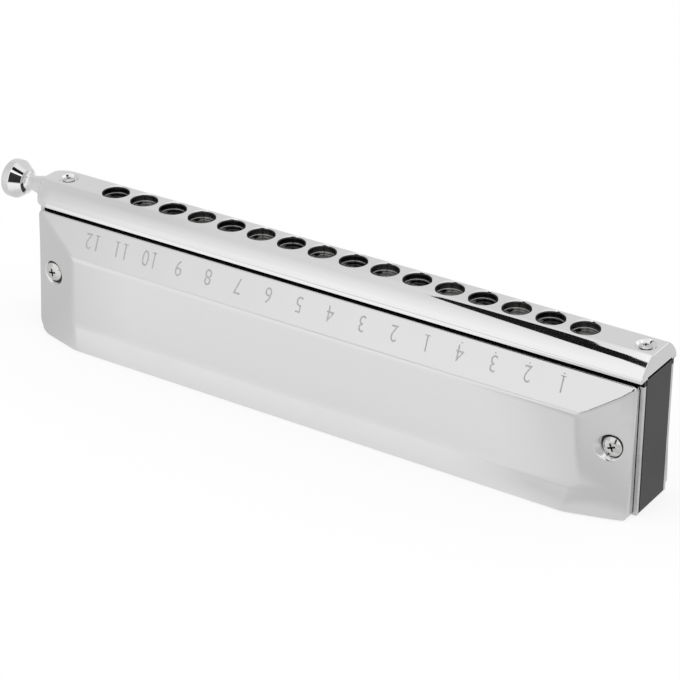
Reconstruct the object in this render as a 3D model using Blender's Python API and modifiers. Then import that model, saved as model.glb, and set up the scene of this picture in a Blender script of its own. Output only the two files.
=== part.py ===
"""Sixteen-hole chromatic harmonica with a push-button slide, in metres, +Z up.

The instrument stands on the back of its comb, with its mouthpiece on top, its
button at -X and its numbered cover towards -Y. The origin is the middle of the
comb's back face.
"""

import bmesh
import bpy
import math
from mathutils import Matrix, Vector

# Clearances
SEAT_GAP = 0.0003
SLIDE_GAP = 0.0001
PIN_GAP = 0.0001
CUT_OVERRUN = 0.002

# Holes and comb
HOLES = 16
HOLE_PITCH = 0.0094
COMB_END_BLOCK = 0.0153
COMB_THICKNESS = 0.01226
COMB_HEIGHT = 0.0371
COMB_CORNER = 0.0008
CELL_WALL = 0.001
CELL_DIVIDER = 0.002
CELL_WINDOW_REACH = 0.0042
FRONT_WALL = 0.0016
RIB_RISE = 0.0011
RIB_HALF_WIDTH = 0.0052
RIB_INSET = 0.0004

# Reeds and their plates
PLATE_THICKNESS = 0.001
PLATE_END_INSET = 0.0001
PLATE_REAR_EDGE = 0.0003
REED_SINK = 0.0002
REED_WIDTH = 0.0022
REED_THICKNESS = 0.00015
REED_LONGEST = 0.022
REED_SHORTEST = 0.010
REED_TIP_INSET = 0.005
REED_PAD_LENGTH = 0.003
REED_PAD_THICKNESS = 0.0004
REED_RIVET_RADIUS = 0.0007
REED_RIVET_RISE = 0.0002
SLOT_SIDE_MARGIN = 0.00015
CELL_END_MARGIN = 0.001

# Slide assembly, from the comb upwards
BACKING_THICKNESS = 0.0006
BACKING_HALF_WIDTH = 0.0053
BACKING_SLOT_LENGTH = 0.0036
SLIDE_THICKNESS = 0.0006
SLIDE_HALF_WIDTH = 0.0045
SLIDE_TAIL_HALF_WIDTH = 0.0033
SLIDE_RAIL = 0.001
SLIDE_SPINE = 0.001
SLIDE_SEAL = 0.0002
GUIDE_THICKNESS = 0.0004
GUIDE_HOLE_RADIUS = 0.0032

# Mouthpiece
BORE_RADIUS = 0.0035
MOUTH_ROOF = 0.0014
TOP_FLAT_HALF = 0.0034
TOP_ROUND = 0.003
FLANK_ANGLE = math.radians(42.0)
FLANK_LENGTH = 0.0025
SIDE_ROUND = 0.0044
NOSE_LENGTH = 0.0028
NOSE_CORNER = 0.0046
NOSE_DROP = 0.0005
NOSE_WALL = 0.0008
MOUTH_END_WALL = 0.0015

# Button: a turned knob, waist and stem on one axis
KNOB_RADIUS = 0.0055
KNOB_EDGE = 0.0008
KNOB_BARREL = 0.0033
KNOB_DOME = 0.0012
KNOB_BOW = 0.55
KNOB_BACK_LENGTH = 0.0028
WAIST_RADIUS = 0.00215
WAIST_LENGTH = 0.0006
STEM_TAPER_LENGTH = 0.0055
STEM_RADIUS = 0.00325
STEM_DEPTH = 0.0053
STEM_AXIS_DROP = 0.0047
PIN_HOLE_RADIUS = 0.00045
PIN_HOLE_DEPTH = 0.001
PIN_HOLE_INSET = 0.0012
PIN_HOLE_ANGLE = math.radians(50.0)

# Spring that pushes the slide back out
WIRE_RADIUS = 0.00035
COIL_RADIUS = 0.00175
COIL_WIDTH = 0.0024
COIL_TURNS = 2
COIL_POINTS = 10
BRACED_LEG_START = math.radians(70.0)
SPRING_INSET = 0.0107
SPRING_DEPTH = 0.0076
POCKET_SIDE_GAP = 0.00045
POCKET_WALL = 0.0011
POCKET_LEFT_REACH = 0.0041
POCKET_FLOOR_GAP = 0.0004

# Screws, rivets and bumpers
MOUTH_SCREW_INSET = 0.004
MOUTH_SCREW_RADIUS = 0.0008
MOUTH_SCREW_LENGTH = 0.0155
MOUTH_HEAD_RADIUS = 0.0017
MOUTH_HEAD_HEIGHT = 0.0008
DIMPLE_RADIUS = 0.0029
DIMPLE_DEPTH = 0.0009
BUMPER_WALL = 0.0003
RIVET_RADIUS = 0.00035
RIVET_HEAD_RADIUS = 0.0007
RIVET_HEAD_HEIGHT = 0.00035
RIVET_OFFSET = 0.00225
COVER_BOLT_INSET = 0.0059
COVER_BOLT_HEIGHT = 0.0189
COVER_BOLT_RADIUS = 0.0009
COVER_NUT_RADIUS = 0.0015
COVER_NUT_LENGTH = 0.006
COVER_HEAD_RADIUS = 0.00265
COVER_HEAD_HEIGHT = 0.0011
HEAD_DOME = ((0.0, 1.0), (0.55, 0.9), (0.9, 0.5), (1.0, 0.0))
DRIVE_LENGTH = 0.0026
DRIVE_WIDTH = 0.0006
DRIVE_DEPTH = 0.0006
PLATE_SCREW_HEIGHT = 0.0035
PLATE_SCREW_RADIUS = 0.0007
PLATE_SCREW_LENGTH = 0.0045
PLATE_HEAD_RADIUS = 0.0014
PLATE_HEAD_HEIGHT = 0.0007
PLATE_SCREW_SPACING = 0.078

# Covers, measured outwards from the reed plate's face
COVER_SHEET = 0.0006
COVER_END_INSET = 0.0003
COVER_FRONT_INSET = 0.0019
COVER_REAR_EDGE = 0.0001
COVER_WALL_LEAN = 0.0003
LIP_HEIGHT = 0.0015
FRONT_SLOPE_LENGTH = 0.0092
PLATEAU_FLARE_EDGE = 0.007
PLATEAU_FRONT_HEIGHT = 0.0053
PLATEAU_FLARE_HEIGHT = 0.006
PLATEAU_REAR_HEIGHT = 0.0081
PLATEAU_END_INSET = 0.014
PLATEAU_REAR_NARROWING = 0.002
END_WALL_FRONT = 0.0018
END_WALL_FLARE = 0.0029
END_WALL_REAR = 0.0036
CREASE_ROUND = 0.001
DISH_RADIUS = 0.0035
DISH_WALL = 0.0006
DISH_DROP = 0.00115

# Worked-out lengths and levels
HALF_LENGTH = HOLES * HOLE_PITCH / 2 + COMB_END_BLOCK
COMB_SIDE = COMB_THICKNESS / 2
PLATE_INNER = COMB_SIDE + SEAT_GAP
PLATE_FACE = PLATE_INNER + PLATE_THICKNESS
TRAVEL = HOLE_PITCH / 2
CELL_PITCH = HOLE_PITCH / 2
CELL_WIDTH = CELL_PITCH - CELL_WALL
RIB_TOP = COMB_HEIGHT + RIB_RISE
BACKING_LOW = RIB_TOP + SEAT_GAP
BACKING_TOP = BACKING_LOW + BACKING_THICKNESS
SLIDE_LOW = BACKING_TOP + SLIDE_GAP
SLIDE_TOP = SLIDE_LOW + SLIDE_THICKNESS
GUIDE_LOW = SLIDE_TOP + SLIDE_GAP
GUIDE_TOP = GUIDE_LOW + GUIDE_THICKNESS
ROOF_LOW = GUIDE_TOP + SEAT_GAP
MOUTH_TOP = ROOF_LOW + MOUTH_ROOF
STEM_AXIS = MOUTH_TOP - STEM_AXIS_DROP
CHANNEL_HALF_WIDTH = BACKING_HALF_WIDTH + SEAT_GAP
TAIL_CHANNEL_HALF_WIDTH = SLIDE_TAIL_HALF_WIDTH + SEAT_GAP
SEAT_HALF_WIDTH = PLATE_FACE + SEAT_GAP
NOSE_X = -HALF_LENGTH - NOSE_LENGTH
NOSE_INNER_X = NOSE_X + NOSE_WALL
STEM_END_X = NOSE_X + STEM_DEPTH
PLATES_LEFT_X = STEM_END_X + TRAVEL + SEAT_GAP
CHANNEL_RIGHT_X = HALF_LENGTH - MOUTH_END_WALL
PLATES_RIGHT_X = CHANNEL_RIGHT_X - SEAT_GAP
SLIDE_LEFT_X = NOSE_INNER_X + SEAT_GAP
SLIDE_RIGHT_X = PLATES_RIGHT_X - TRAVEL
SCREW_X = HALF_LENGTH - MOUTH_SCREW_INSET
BUMPER_INNER = MOUTH_SCREW_RADIUS + PIN_GAP + PIN_GAP
BUMPER_OUTER = BUMPER_INNER + BUMPER_WALL
STOP_SLOT_HALF = BUMPER_OUTER + PIN_GAP + PIN_GAP
WINDOW_HALF = TRAVEL - BACKING_SLOT_LENGTH / 2 - SLIDE_SEAL
FORK_ROOT_X = -SCREW_X - MOUTH_SCREW_RADIUS - SEAT_GAP - TRAVEL
RIVET_X = (FORK_ROOT_X + STEM_END_X) / 2
SLOT_TOP = COMB_HEIGHT - REED_TIP_INSET
SPRING_X = -HALF_LENGTH + SPRING_INSET
SPRING_HEIGHT = COMB_HEIGHT - SPRING_DEPTH
SPRING_HOLE_X = SPRING_X - COIL_RADIUS
SPRING_HOLE_RADIUS = WIRE_RADIUS + SEAT_GAP
COVER_END = HALF_LENGTH - COVER_END_INSET
COVER_FRONT_EDGE = COMB_HEIGHT - COVER_FRONT_INSET
PLATEAU_FRONT_EDGE = COVER_FRONT_EDGE - FRONT_SLOPE_LENGTH
COVER_BASE = PLATE_FACE + SEAT_GAP
BOLT_X = HALF_LENGTH - COVER_BOLT_INSET

# Facets of round shapes
BORE_SIDES = 20
GUIDE_SIDES = 12
SMALL_SIDES = 12
KNOB_STEPS = 24
HEAD_STEPS = 16
ARC_STEPS = 4


def clear_scene():
    """Removes what a new file holds."""
    for item in list(bpy.data.objects):
        bpy.data.objects.remove(item, do_unlink=True)


def new_collection(name):
    """Returns a new collection linked to the scene."""
    collection = bpy.data.collections.new(name)
    bpy.context.scene.collection.children.link(collection)
    return collection


def make_material(name, colour, roughness, metallic):
    """Returns a Principled material of one colour."""
    material = bpy.data.materials.new(name)
    material.use_nodes = True
    shader = material.node_tree.nodes["Principled BSDF"]
    shader.inputs["Base Color"].default_value = (*colour, 1.0)
    shader.inputs["Roughness"].default_value = roughness
    shader.inputs["Metallic"].default_value = metallic
    material.diffuse_color = (*colour, 1.0)
    return material


def add_box(mesh, low, high):
    """Adds a box between two corners."""
    low = Vector(low)
    high = Vector(high)
    place = Matrix.Translation((low + high) / 2) @ Matrix.Diagonal((*(high - low), 1.0))
    bmesh.ops.create_cube(mesh, size=1.0, matrix=place)


def add_rod(mesh, start, end, radius, sides, end_radius=None):
    """Adds a cylinder or a cone between two points."""
    start = Vector(start)
    end = Vector(end)
    along = end - start
    turn = along.to_track_quat("Z", "Y").to_matrix().to_4x4()
    place = Matrix.Translation((start + end) / 2) @ turn
    bmesh.ops.create_cone(
        mesh,
        cap_ends=True,
        segments=sides,
        radius1=radius,
        radius2=radius if end_radius is None else end_radius,
        depth=along.length,
        matrix=place,
    )


def finish_object(name, mesh, collection, material=None):
    """Turns a bmesh into an object of a collection."""
    data = bpy.data.meshes.new(name)
    mesh.to_mesh(data)
    mesh.free()
    item = bpy.data.objects.new(name, data)
    collection.objects.link(item)
    if material is not None:
        data.materials.append(material)
    return item


def make_part(name, mesh, material):
    """Adds a piece of the instrument."""
    return finish_object(name, mesh, PARTS, material)


def make_cutter(name, mesh):
    """Adds a tool body that never renders."""
    cutter = finish_object(name, mesh, CUTTERS)
    cutter.hide_render = True
    cutter.display_type = "WIRE"
    return cutter


def add_boolean(item, cutter, operation):
    """Cuts from, or joins to, a piece."""
    step = item.modifiers.new(cutter.name, "BOOLEAN")
    step.operation = operation
    step.solver = "EXACT"
    step.object = cutter


def cut_away(item, name, mesh):
    """Cuts a tool body from a piece."""
    add_boolean(item, make_cutter(name, mesh), "DIFFERENCE")


def join_on(item, name, mesh):
    """Joins a tool body to a piece."""
    add_boolean(item, make_cutter(name, mesh), "UNION")


def smooth_round(item):
    """Shades round sides smooth and keeps the edges sharp."""
    item.data.shade_smooth()
    item.data.set_sharp_from_angle(angle=math.radians(35.0))


def turn_profile(name, profile, steps, material):
    """Makes a turned piece about local Z from (radius, height) pairs, top to bottom."""
    mesh = bmesh.new()
    corners = [mesh.verts.new((radius, 0.0, height)) for radius, height in profile]
    for first, second in zip(corners, corners[1:]):
        mesh.edges.new((first, second))
    item = make_part(name, mesh, material)
    spin = item.modifiers.new("turn", "SCREW")
    spin.axis = "Z"
    spin.steps = steps
    spin.render_steps = steps
    spin.use_merge_vertices = True
    spin.merge_threshold = 0.00001
    return item


def arc_points(centre, radius, start, end, steps):
    """Returns points on an arc, both ends included, angles from +first axis."""
    points = []
    for step in range(steps + 1):
        angle = start + (end - start) * step / steps
        points.append((centre[0] + radius * math.cos(angle), centre[1] + radius * math.sin(angle)))
    return points


def hole_x(index):
    """Returns the place of a mouth hole along the instrument."""
    return (index - (HOLES - 1) / 2) * HOLE_PITCH


def cell_x(index):
    """Returns the place of an air cell, two to a hole."""
    return (index - (2 * HOLES - 1) / 2) * CELL_PITCH


def reed_length(index):
    """Returns the length of a cell's reed: low notes at +X have the longest."""
    share = index / (2 * HOLES - 1)
    return REED_SHORTEST + (REED_LONGEST - REED_SHORTEST) * share


def build_comb():
    """Comb: the core block with an air cell for each reed and a rib under the slide."""
    mesh = bmesh.new()
    add_box(mesh, (-HALF_LENGTH, -COMB_SIDE, 0.0), (HALF_LENGTH, COMB_SIDE, COMB_HEIGHT))
    rear_edges = [
        edge
        for edge in mesh.edges
        if abs(edge.verts[0].co.y - edge.verts[1].co.y) > COMB_SIDE and edge.verts[0].co.z < COMB_SIDE
    ]
    bmesh.ops.bevel(
        mesh,
        geom=rear_edges,
        offset=COMB_CORNER,
        segments=2,
        profile=0.5,
        affect="EDGES",
    )
    comb = make_part("comb", mesh, PLASTIC)

    mesh = bmesh.new()
    add_box(
        mesh,
        (PLATES_LEFT_X + RIB_INSET, -RIB_HALF_WIDTH, COMB_HEIGHT - RIB_RISE),
        (PLATES_RIGHT_X - RIB_INSET, RIB_HALF_WIDTH, RIB_TOP),
    )
    join_on(comb, "comb_rib", mesh)

    chambers = bmesh.new()
    windows = bmesh.new()
    for index in range(2 * HOLES):
        left = cell_x(index) - CELL_WIDTH / 2
        right = cell_x(index) + CELL_WIDTH / 2
        floor = SLOT_TOP - reed_length(index) - CELL_END_MARGIN
        for side in (-1, 1):
            near = side * CELL_DIVIDER / 2
            far = side * (COMB_SIDE + CUT_OVERRUN)
            reach = side * CELL_WINDOW_REACH
            add_box(
                chambers,
                (left, min(near, far), floor),
                (right, max(near, far), COMB_HEIGHT - FRONT_WALL),
            )
            add_box(
                windows,
                (left, min(near, reach), COMB_HEIGHT - 2 * FRONT_WALL),
                (right, max(near, reach), RIB_TOP + CUT_OVERRUN),
            )
    cut_away(comb, "cell_chambers", chambers)
    cut_away(comb, "cell_windows", windows)

    mesh = bmesh.new()
    add_rod(
        mesh,
        (-HALF_LENGTH - CUT_OVERRUN, 0.0, STEM_AXIS),
        (PLATES_LEFT_X, 0.0, STEM_AXIS),
        STEM_RADIUS + SEAT_GAP,
        SMALL_SIDES,
    )
    cut_away(comb, "stem_groove", mesh)

    mesh = bmesh.new()
    half_width = COIL_WIDTH / 2 + WIRE_RADIUS + POCKET_SIDE_GAP
    floor = SPRING_HEIGHT - COIL_RADIUS - WIRE_RADIUS - POCKET_FLOOR_GAP
    right = cell_x(0) - CELL_WIDTH / 2 - POCKET_WALL
    add_box(
        mesh,
        (SPRING_X - POCKET_LEFT_REACH, -half_width, floor),
        (right, half_width, RIB_TOP + CUT_OVERRUN),
    )
    cut_away(comb, "spring_pocket", mesh)

    mesh = bmesh.new()
    for side in (-1, 1):
        add_rod(
            mesh,
            (side * SCREW_X, 0.0, MOUTH_TOP - MOUTH_SCREW_LENGTH - SEAT_GAP - MOUTH_HEAD_HEIGHT),
            (side * SCREW_X, 0.0, RIB_TOP + CUT_OVERRUN),
            MOUTH_SCREW_RADIUS + SEAT_GAP,
            SMALL_SIDES,
        )
        add_rod(
            mesh,
            (side * BOLT_X, -COMB_SIDE - CUT_OVERRUN, COVER_BOLT_HEIGHT),
            (side * BOLT_X, COMB_SIDE + CUT_OVERRUN, COVER_BOLT_HEIGHT),
            COVER_NUT_RADIUS + SEAT_GAP,
            SMALL_SIDES,
        )
    add_rod(
        mesh,
        (SPRING_X, -COMB_SIDE - CUT_OVERRUN, SPRING_HEIGHT),
        (SPRING_X, COMB_SIDE + CUT_OVERRUN, SPRING_HEIGHT),
        COIL_RADIUS - WIRE_RADIUS,
        SMALL_SIDES,
    )
    for side in (-1, 1):
        for step in (-1, 0, 1):
            place = step * PLATE_SCREW_SPACING
            depth = COMB_SIDE - PLATE_SCREW_LENGTH
            add_rod(
                mesh,
                (place, side * depth, PLATE_SCREW_HEIGHT),
                (place, side * (COMB_SIDE + CUT_OVERRUN), PLATE_SCREW_HEIGHT),
                PLATE_SCREW_RADIUS + SEAT_GAP,
                SMALL_SIDES // 2 + 2,
            )
    cut_away(comb, "comb_drillings", mesh)


def add_reed(mesh, place, base, outward, tip_up, length):
    """Adds a reed: a thick pad and a thin tongue as one extruded outline."""
    direction = 1 if tip_up else -1
    root = SLOT_TOP - length if tip_up else SLOT_TOP
    outline = (
        (-REED_PAD_LENGTH, 0.0),
        (length, 0.0),
        (length, REED_THICKNESS),
        (0.0, REED_THICKNESS),
        (-REED_PAD_THICKNESS, REED_PAD_THICKNESS),
        (-REED_PAD_LENGTH, REED_PAD_THICKNESS),
    )
    corners = [
        mesh.verts.new((place - REED_WIDTH / 2, base + outward * rise, root + direction * along))
        for along, rise in outline
    ]
    face = mesh.faces.new(corners)
    grown = bmesh.ops.extrude_face_region(mesh, geom=[face])
    moved = [item for item in grown["geom"] if isinstance(item, bmesh.types.BMVert)]
    bmesh.ops.translate(mesh, verts=moved, vec=(REED_WIDTH, 0.0, 0.0))


def build_reed_plate(name, side):
    """Reed plate: a slotted sheet that carries half of its reeds on the comb side."""
    mesh = bmesh.new()
    low = min(side * PLATE_INNER, side * PLATE_FACE)
    high = max(side * PLATE_INNER, side * PLATE_FACE)
    end = HALF_LENGTH - PLATE_END_INSET
    add_box(mesh, (-end, low, PLATE_REAR_EDGE), (end, high, COMB_HEIGHT))
    plate = make_part(name, mesh, PLATE_METAL)

    slots = bmesh.new()
    inner_reeds = bmesh.new()
    half_width = REED_WIDTH / 2 + SLOT_SIDE_MARGIN
    for index in range(2 * HOLES):
        length = reed_length(index)
        add_box(
            slots,
            (cell_x(index) - half_width, low - CUT_OVERRUN, SLOT_TOP - length - SLOT_SIDE_MARGIN),
            (cell_x(index) + half_width, high + CUT_OVERRUN, SLOT_TOP),
        )
        if index % 2:
            add_reed(inner_reeds, cell_x(index), side * (PLATE_INNER + REED_SINK), -side, False, length)
    cut_away(plate, name + "_slots", slots)
    bmesh.ops.recalc_face_normals(inner_reeds, faces=inner_reeds.faces)
    join_on(plate, name + "_inner_reeds", inner_reeds)

    mesh = bmesh.new()
    for end_side in (-1, 1):
        add_rod(
            mesh,
            (end_side * BOLT_X, low - CUT_OVERRUN, COVER_BOLT_HEIGHT),
            (end_side * BOLT_X, high + CUT_OVERRUN, COVER_BOLT_HEIGHT),
            COVER_NUT_RADIUS + SEAT_GAP,
            SMALL_SIDES,
        )
    for step in (-1, 0, 1):
        add_rod(
            mesh,
            (step * PLATE_SCREW_SPACING, low - CUT_OVERRUN, PLATE_SCREW_HEIGHT),
            (step * PLATE_SCREW_SPACING, high + CUT_OVERRUN, PLATE_SCREW_HEIGHT),
            PLATE_SCREW_RADIUS + SEAT_GAP,
            SMALL_SIDES // 2 + 2,
        )
    cut_away(plate, name + "_holes", mesh)


def build_outer_reeds(side_name, side):
    """Outer reeds: one on every second slot, riveted below the slot, tongue up."""
    number = 0
    for index in range(0, 2 * HOLES, 2):
        number += 1
        base = side * (PLATE_FACE + SEAT_GAP)
        mesh = bmesh.new()
        add_reed(mesh, cell_x(index), base, side, True, reed_length(index))
        bmesh.ops.recalc_face_normals(mesh, faces=mesh.faces)
        name = f"reed_{side_name}_{number:02d}"
        reed = make_part(name, mesh, REED_METAL)
        mesh = bmesh.new()
        height = SLOT_TOP - reed_length(index) - (REED_PAD_LENGTH + REED_PAD_THICKNESS) / 2
        add_rod(
            mesh,
            (cell_x(index), base + side * REED_PAD_THICKNESS / 2, height),
            (cell_x(index), base + side * (REED_PAD_THICKNESS + REED_RIVET_RISE), height),
            REED_RIVET_RADIUS,
            8,
        )
        join_on(reed, name + "_rivet", mesh)


def arch_half():
    """Returns the mouthpiece's right half outline as (y, z), from the top down."""
    flat_end = (TOP_FLAT_HALF, MOUTH_TOP)
    points = [flat_end]
    centre = (TOP_FLAT_HALF, MOUTH_TOP - TOP_ROUND)
    right_angle = math.pi / 2
    points += arc_points(centre, TOP_ROUND, right_angle, right_angle - FLANK_ANGLE, ARC_STEPS)[1:]
    knee = points[-1]
    foot = (knee[0] + FLANK_LENGTH * math.cos(FLANK_ANGLE), knee[1] - FLANK_LENGTH * math.sin(FLANK_ANGLE))
    centre = (
        foot[0] - SIDE_ROUND * math.sin(FLANK_ANGLE),
        foot[1] - SIDE_ROUND * math.cos(FLANK_ANGLE),
    )
    points += arc_points(centre, SIDE_ROUND, right_angle - FLANK_ANGLE, 0.0, ARC_STEPS)
    return points


def build_mouthpiece():
    """Mouthpiece: an arched bar with round mouth holes over a channel for the slide."""
    half = arch_half()
    outline = [(-y, z) for y, z in reversed(half)] + half
    side_reach = half[-1][0]
    stations = []
    for step in range(ARC_STEPS + 2):
        angle = math.pi / 2 * step / (ARC_STEPS + 1)
        stations.append((NOSE_X + NOSE_CORNER * (1 - math.cos(angle)), 1 - math.sin(angle)))
    stations.append((HALF_LENGTH, 0.0))

    mesh = bmesh.new()
    rings = []
    low = half[-1][1]
    for x, inset in stations:
        share = 1 - inset * NOSE_CORNER / side_reach
        squash = 1 - inset * NOSE_DROP / (MOUTH_TOP - low)
        rings.append([mesh.verts.new((x, y * share, low + (z - low) * squash)) for y, z in outline])
    for first, second in zip(rings, rings[1:]):
        for index in range(len(outline)):
            after = (index + 1) % len(outline)
            mesh.faces.new((first[index], first[after], second[after], second[index]))
    mesh.faces.new(rings[0])
    mesh.faces.new(rings[-1])
    bmesh.ops.recalc_face_normals(mesh, faces=mesh.faces)
    mouthpiece = make_part("mouthpiece", mesh, CHROME)
    smooth_round(mouthpiece)

    mesh = bmesh.new()
    add_box(
        mesh,
        (-HALF_LENGTH - SEAT_GAP, -SEAT_HALF_WIDTH, 0.0),
        (HALF_LENGTH + CUT_OVERRUN, SEAT_HALF_WIDTH, COMB_HEIGHT + SEAT_GAP),
    )
    cut_away(mouthpiece, "comb_seat", mesh)

    mesh = bmesh.new()
    add_box(
        mesh,
        (PLATES_LEFT_X - SEAT_GAP, -CHANNEL_HALF_WIDTH, COMB_HEIGHT - RIB_RISE),
        (CHANNEL_RIGHT_X, CHANNEL_HALF_WIDTH, ROOF_LOW),
    )
    cut_away(mouthpiece, "slide_channel", mesh)

    mesh = bmesh.new()
    add_box(
        mesh,
        (NOSE_INNER_X, -TAIL_CHANNEL_HALF_WIDTH, 0.0),
        (PLATES_LEFT_X + CUT_OVERRUN, TAIL_CHANNEL_HALF_WIDTH, ROOF_LOW),
    )
    cut_away(mouthpiece, "tail_channel", mesh)

    mesh = bmesh.new()
    add_rod(
        mesh,
        (NOSE_X - CUT_OVERRUN, 0.0, STEM_AXIS),
        (NOSE_INNER_X + CUT_OVERRUN / 2, 0.0, STEM_AXIS),
        STEM_RADIUS + SEAT_GAP,
        BORE_SIDES,
    )
    cut_away(mouthpiece, "stem_bore", mesh)

    bores = bmesh.new()
    for index in range(HOLES):
        add_rod(
            bores,
            (hole_x(index), 0.0, ROOF_LOW - CUT_OVERRUN / 2),
            (hole_x(index), 0.0, MOUTH_TOP + CUT_OVERRUN),
            BORE_RADIUS,
            BORE_SIDES,
        )
    cut_away(mouthpiece, "mouth_holes", bores)

    holes = bmesh.new()
    dimples = bmesh.new()
    for side in (-1, 1):
        add_rod(
            holes,
            (side * SCREW_X, 0.0, ROOF_LOW - CUT_OVERRUN / 2),
            (side * SCREW_X, 0.0, MOUTH_TOP + CUT_OVERRUN),
            MOUTH_SCREW_RADIUS + SEAT_GAP,
            SMALL_SIDES,
        )
        floor_radius = MOUTH_HEAD_RADIUS + SEAT_GAP
        add_rod(
            dimples,
            (side * SCREW_X, 0.0, MOUTH_TOP - DIMPLE_DEPTH),
            (side * SCREW_X, 0.0, MOUTH_TOP + DIMPLE_DEPTH),
            floor_radius,
            BORE_SIDES,
            2 * DIMPLE_RADIUS - floor_radius,
        )
    cut_away(mouthpiece, "screw_dimples", dimples)
    cut_away(mouthpiece, "screw_holes", holes)


def build_backing_plate():
    """Backing plate: the slotted sheet between the comb and the slide."""
    mesh = bmesh.new()
    add_box(
        mesh,
        (PLATES_LEFT_X, -BACKING_HALF_WIDTH, BACKING_LOW),
        (PLATES_RIGHT_X, BACKING_HALF_WIDTH, BACKING_TOP),
    )
    plate = make_part("backing_plate", mesh, STEEL)
    mesh = bmesh.new()
    low = BACKING_LOW - CUT_OVERRUN
    high = BACKING_TOP + CUT_OVERRUN
    near = SLIDE_SPINE / 2 + SLIDE_SEAL / 2
    far = SLIDE_HALF_WIDTH - SLIDE_RAIL - SLIDE_SEAL / 2
    for index in range(HOLES):
        left = hole_x(index) - BACKING_SLOT_LENGTH / 2
        right = hole_x(index) + BACKING_SLOT_LENGTH / 2
        add_box(mesh, (left, -far, low), (right, -near, high))
        add_box(mesh, (left, near, low), (right, far, high))
    reach = SPRING_HOLE_RADIUS
    leg_y = COIL_WIDTH / 2
    add_box(
        mesh,
        (SPRING_HOLE_X - reach, leg_y - reach, low),
        (SPRING_HOLE_X + TRAVEL + reach, leg_y + reach, high),
    )
    add_rod(mesh, (SCREW_X, 0.0, low), (SCREW_X, 0.0, high), MOUTH_SCREW_RADIUS + SEAT_GAP, SMALL_SIDES)
    cut_away(plate, "backing_slots", mesh)


def build_slide_guide():
    """Slide guide: a thin channel over the slide, with a round hole under each mouth hole."""
    mesh = bmesh.new()
    add_box(
        mesh,
        (PLATES_LEFT_X, -BACKING_HALF_WIDTH, BACKING_TOP + SEAT_GAP),
        (PLATES_RIGHT_X, BACKING_HALF_WIDTH, GUIDE_TOP),
    )
    guide = make_part("slide_guide", mesh, STEEL)
    mesh = bmesh.new()
    add_box(
        mesh,
        (PLATES_LEFT_X - CUT_OVERRUN, -SLIDE_HALF_WIDTH - SLIDE_GAP, BACKING_TOP - CUT_OVERRUN),
        (PLATES_RIGHT_X + CUT_OVERRUN, SLIDE_HALF_WIDTH + SLIDE_GAP, GUIDE_LOW),
    )
    cut_away(guide, "guide_channel", mesh)
    mesh = bmesh.new()
    for index in range(HOLES):
        place = hole_x(index)
        add_rod(
            mesh,
            (place, 0.0, GUIDE_LOW - CUT_OVERRUN / 2),
            (place, 0.0, GUIDE_TOP + CUT_OVERRUN),
            GUIDE_HOLE_RADIUS,
            GUIDE_SIDES,
        )
    add_rod(
        mesh,
        (SCREW_X, 0.0, GUIDE_LOW - CUT_OVERRUN / 2),
        (SCREW_X, 0.0, GUIDE_TOP + CUT_OVERRUN),
        MOUTH_SCREW_RADIUS + SEAT_GAP,
        SMALL_SIDES,
    )
    cut_away(guide, "guide_holes", mesh)


def build_slide():
    """Slide: a flat blade whose windows open one row of slots or the other."""
    mesh = bmesh.new()
    add_box(
        mesh,
        (PLATES_LEFT_X, -SLIDE_HALF_WIDTH, SLIDE_LOW),
        (SLIDE_RIGHT_X, SLIDE_HALF_WIDTH, SLIDE_TOP),
    )
    slide = make_part("slide", mesh, STEEL)
    slide.parent = CARRIER
    mesh = bmesh.new()
    add_box(
        mesh,
        (SLIDE_LEFT_X, -SLIDE_TAIL_HALF_WIDTH, SLIDE_LOW),
        (PLATES_LEFT_X + SLIDE_RAIL, SLIDE_TAIL_HALF_WIDTH, SLIDE_TOP),
    )
    join_on(slide, "slide_tail", mesh)

    low = SLIDE_LOW - CUT_OVERRUN
    high = SLIDE_TOP + CUT_OVERRUN
    near = SLIDE_SPINE / 2
    far = SLIDE_HALF_WIDTH - SLIDE_RAIL
    mesh = bmesh.new()
    for first_open, y_low, y_high in ((0, near, far), (1, -far, -near)):
        spans = []
        if first_open:
            spans.append((hole_x(0) - TRAVEL - WINDOW_HALF, hole_x(0) - TRAVEL + WINDOW_HALF))
        for index in range(first_open, HOLES, 2):
            left = hole_x(index) - WINDOW_HALF
            right = hole_x(index) + WINDOW_HALF
            if index + 1 < HOLES:
                right = hole_x(index + 1) - TRAVEL + WINDOW_HALF
            spans.append((left, right))
        for left, right in spans:
            add_box(mesh, (left, y_low, low), (right, y_high, high))
    stop_right = -SCREW_X + STOP_SLOT_HALF
    stop_left = SCREW_X - STOP_SLOT_HALF - TRAVEL
    add_box(mesh, (SLIDE_LEFT_X - CUT_OVERRUN, -STOP_SLOT_HALF, low), (stop_right, STOP_SLOT_HALF, high))
    add_box(mesh, (stop_left, -STOP_SLOT_HALF, low), (SLIDE_RIGHT_X + CUT_OVERRUN, STOP_SLOT_HALF, high))
    leg_y = COIL_WIDTH / 2
    add_rod(mesh, (SPRING_HOLE_X, leg_y, low), (SPRING_HOLE_X, leg_y, high), SPRING_HOLE_RADIUS, SMALL_SIDES)
    for side in (-1, 1):
        place = (RIVET_X, side * RIVET_OFFSET)
        add_rod(mesh, (*place, low), (*place, high), RIVET_RADIUS + PIN_GAP, SMALL_SIDES)
    cut_away(slide, "slide_windows", mesh)


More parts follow.
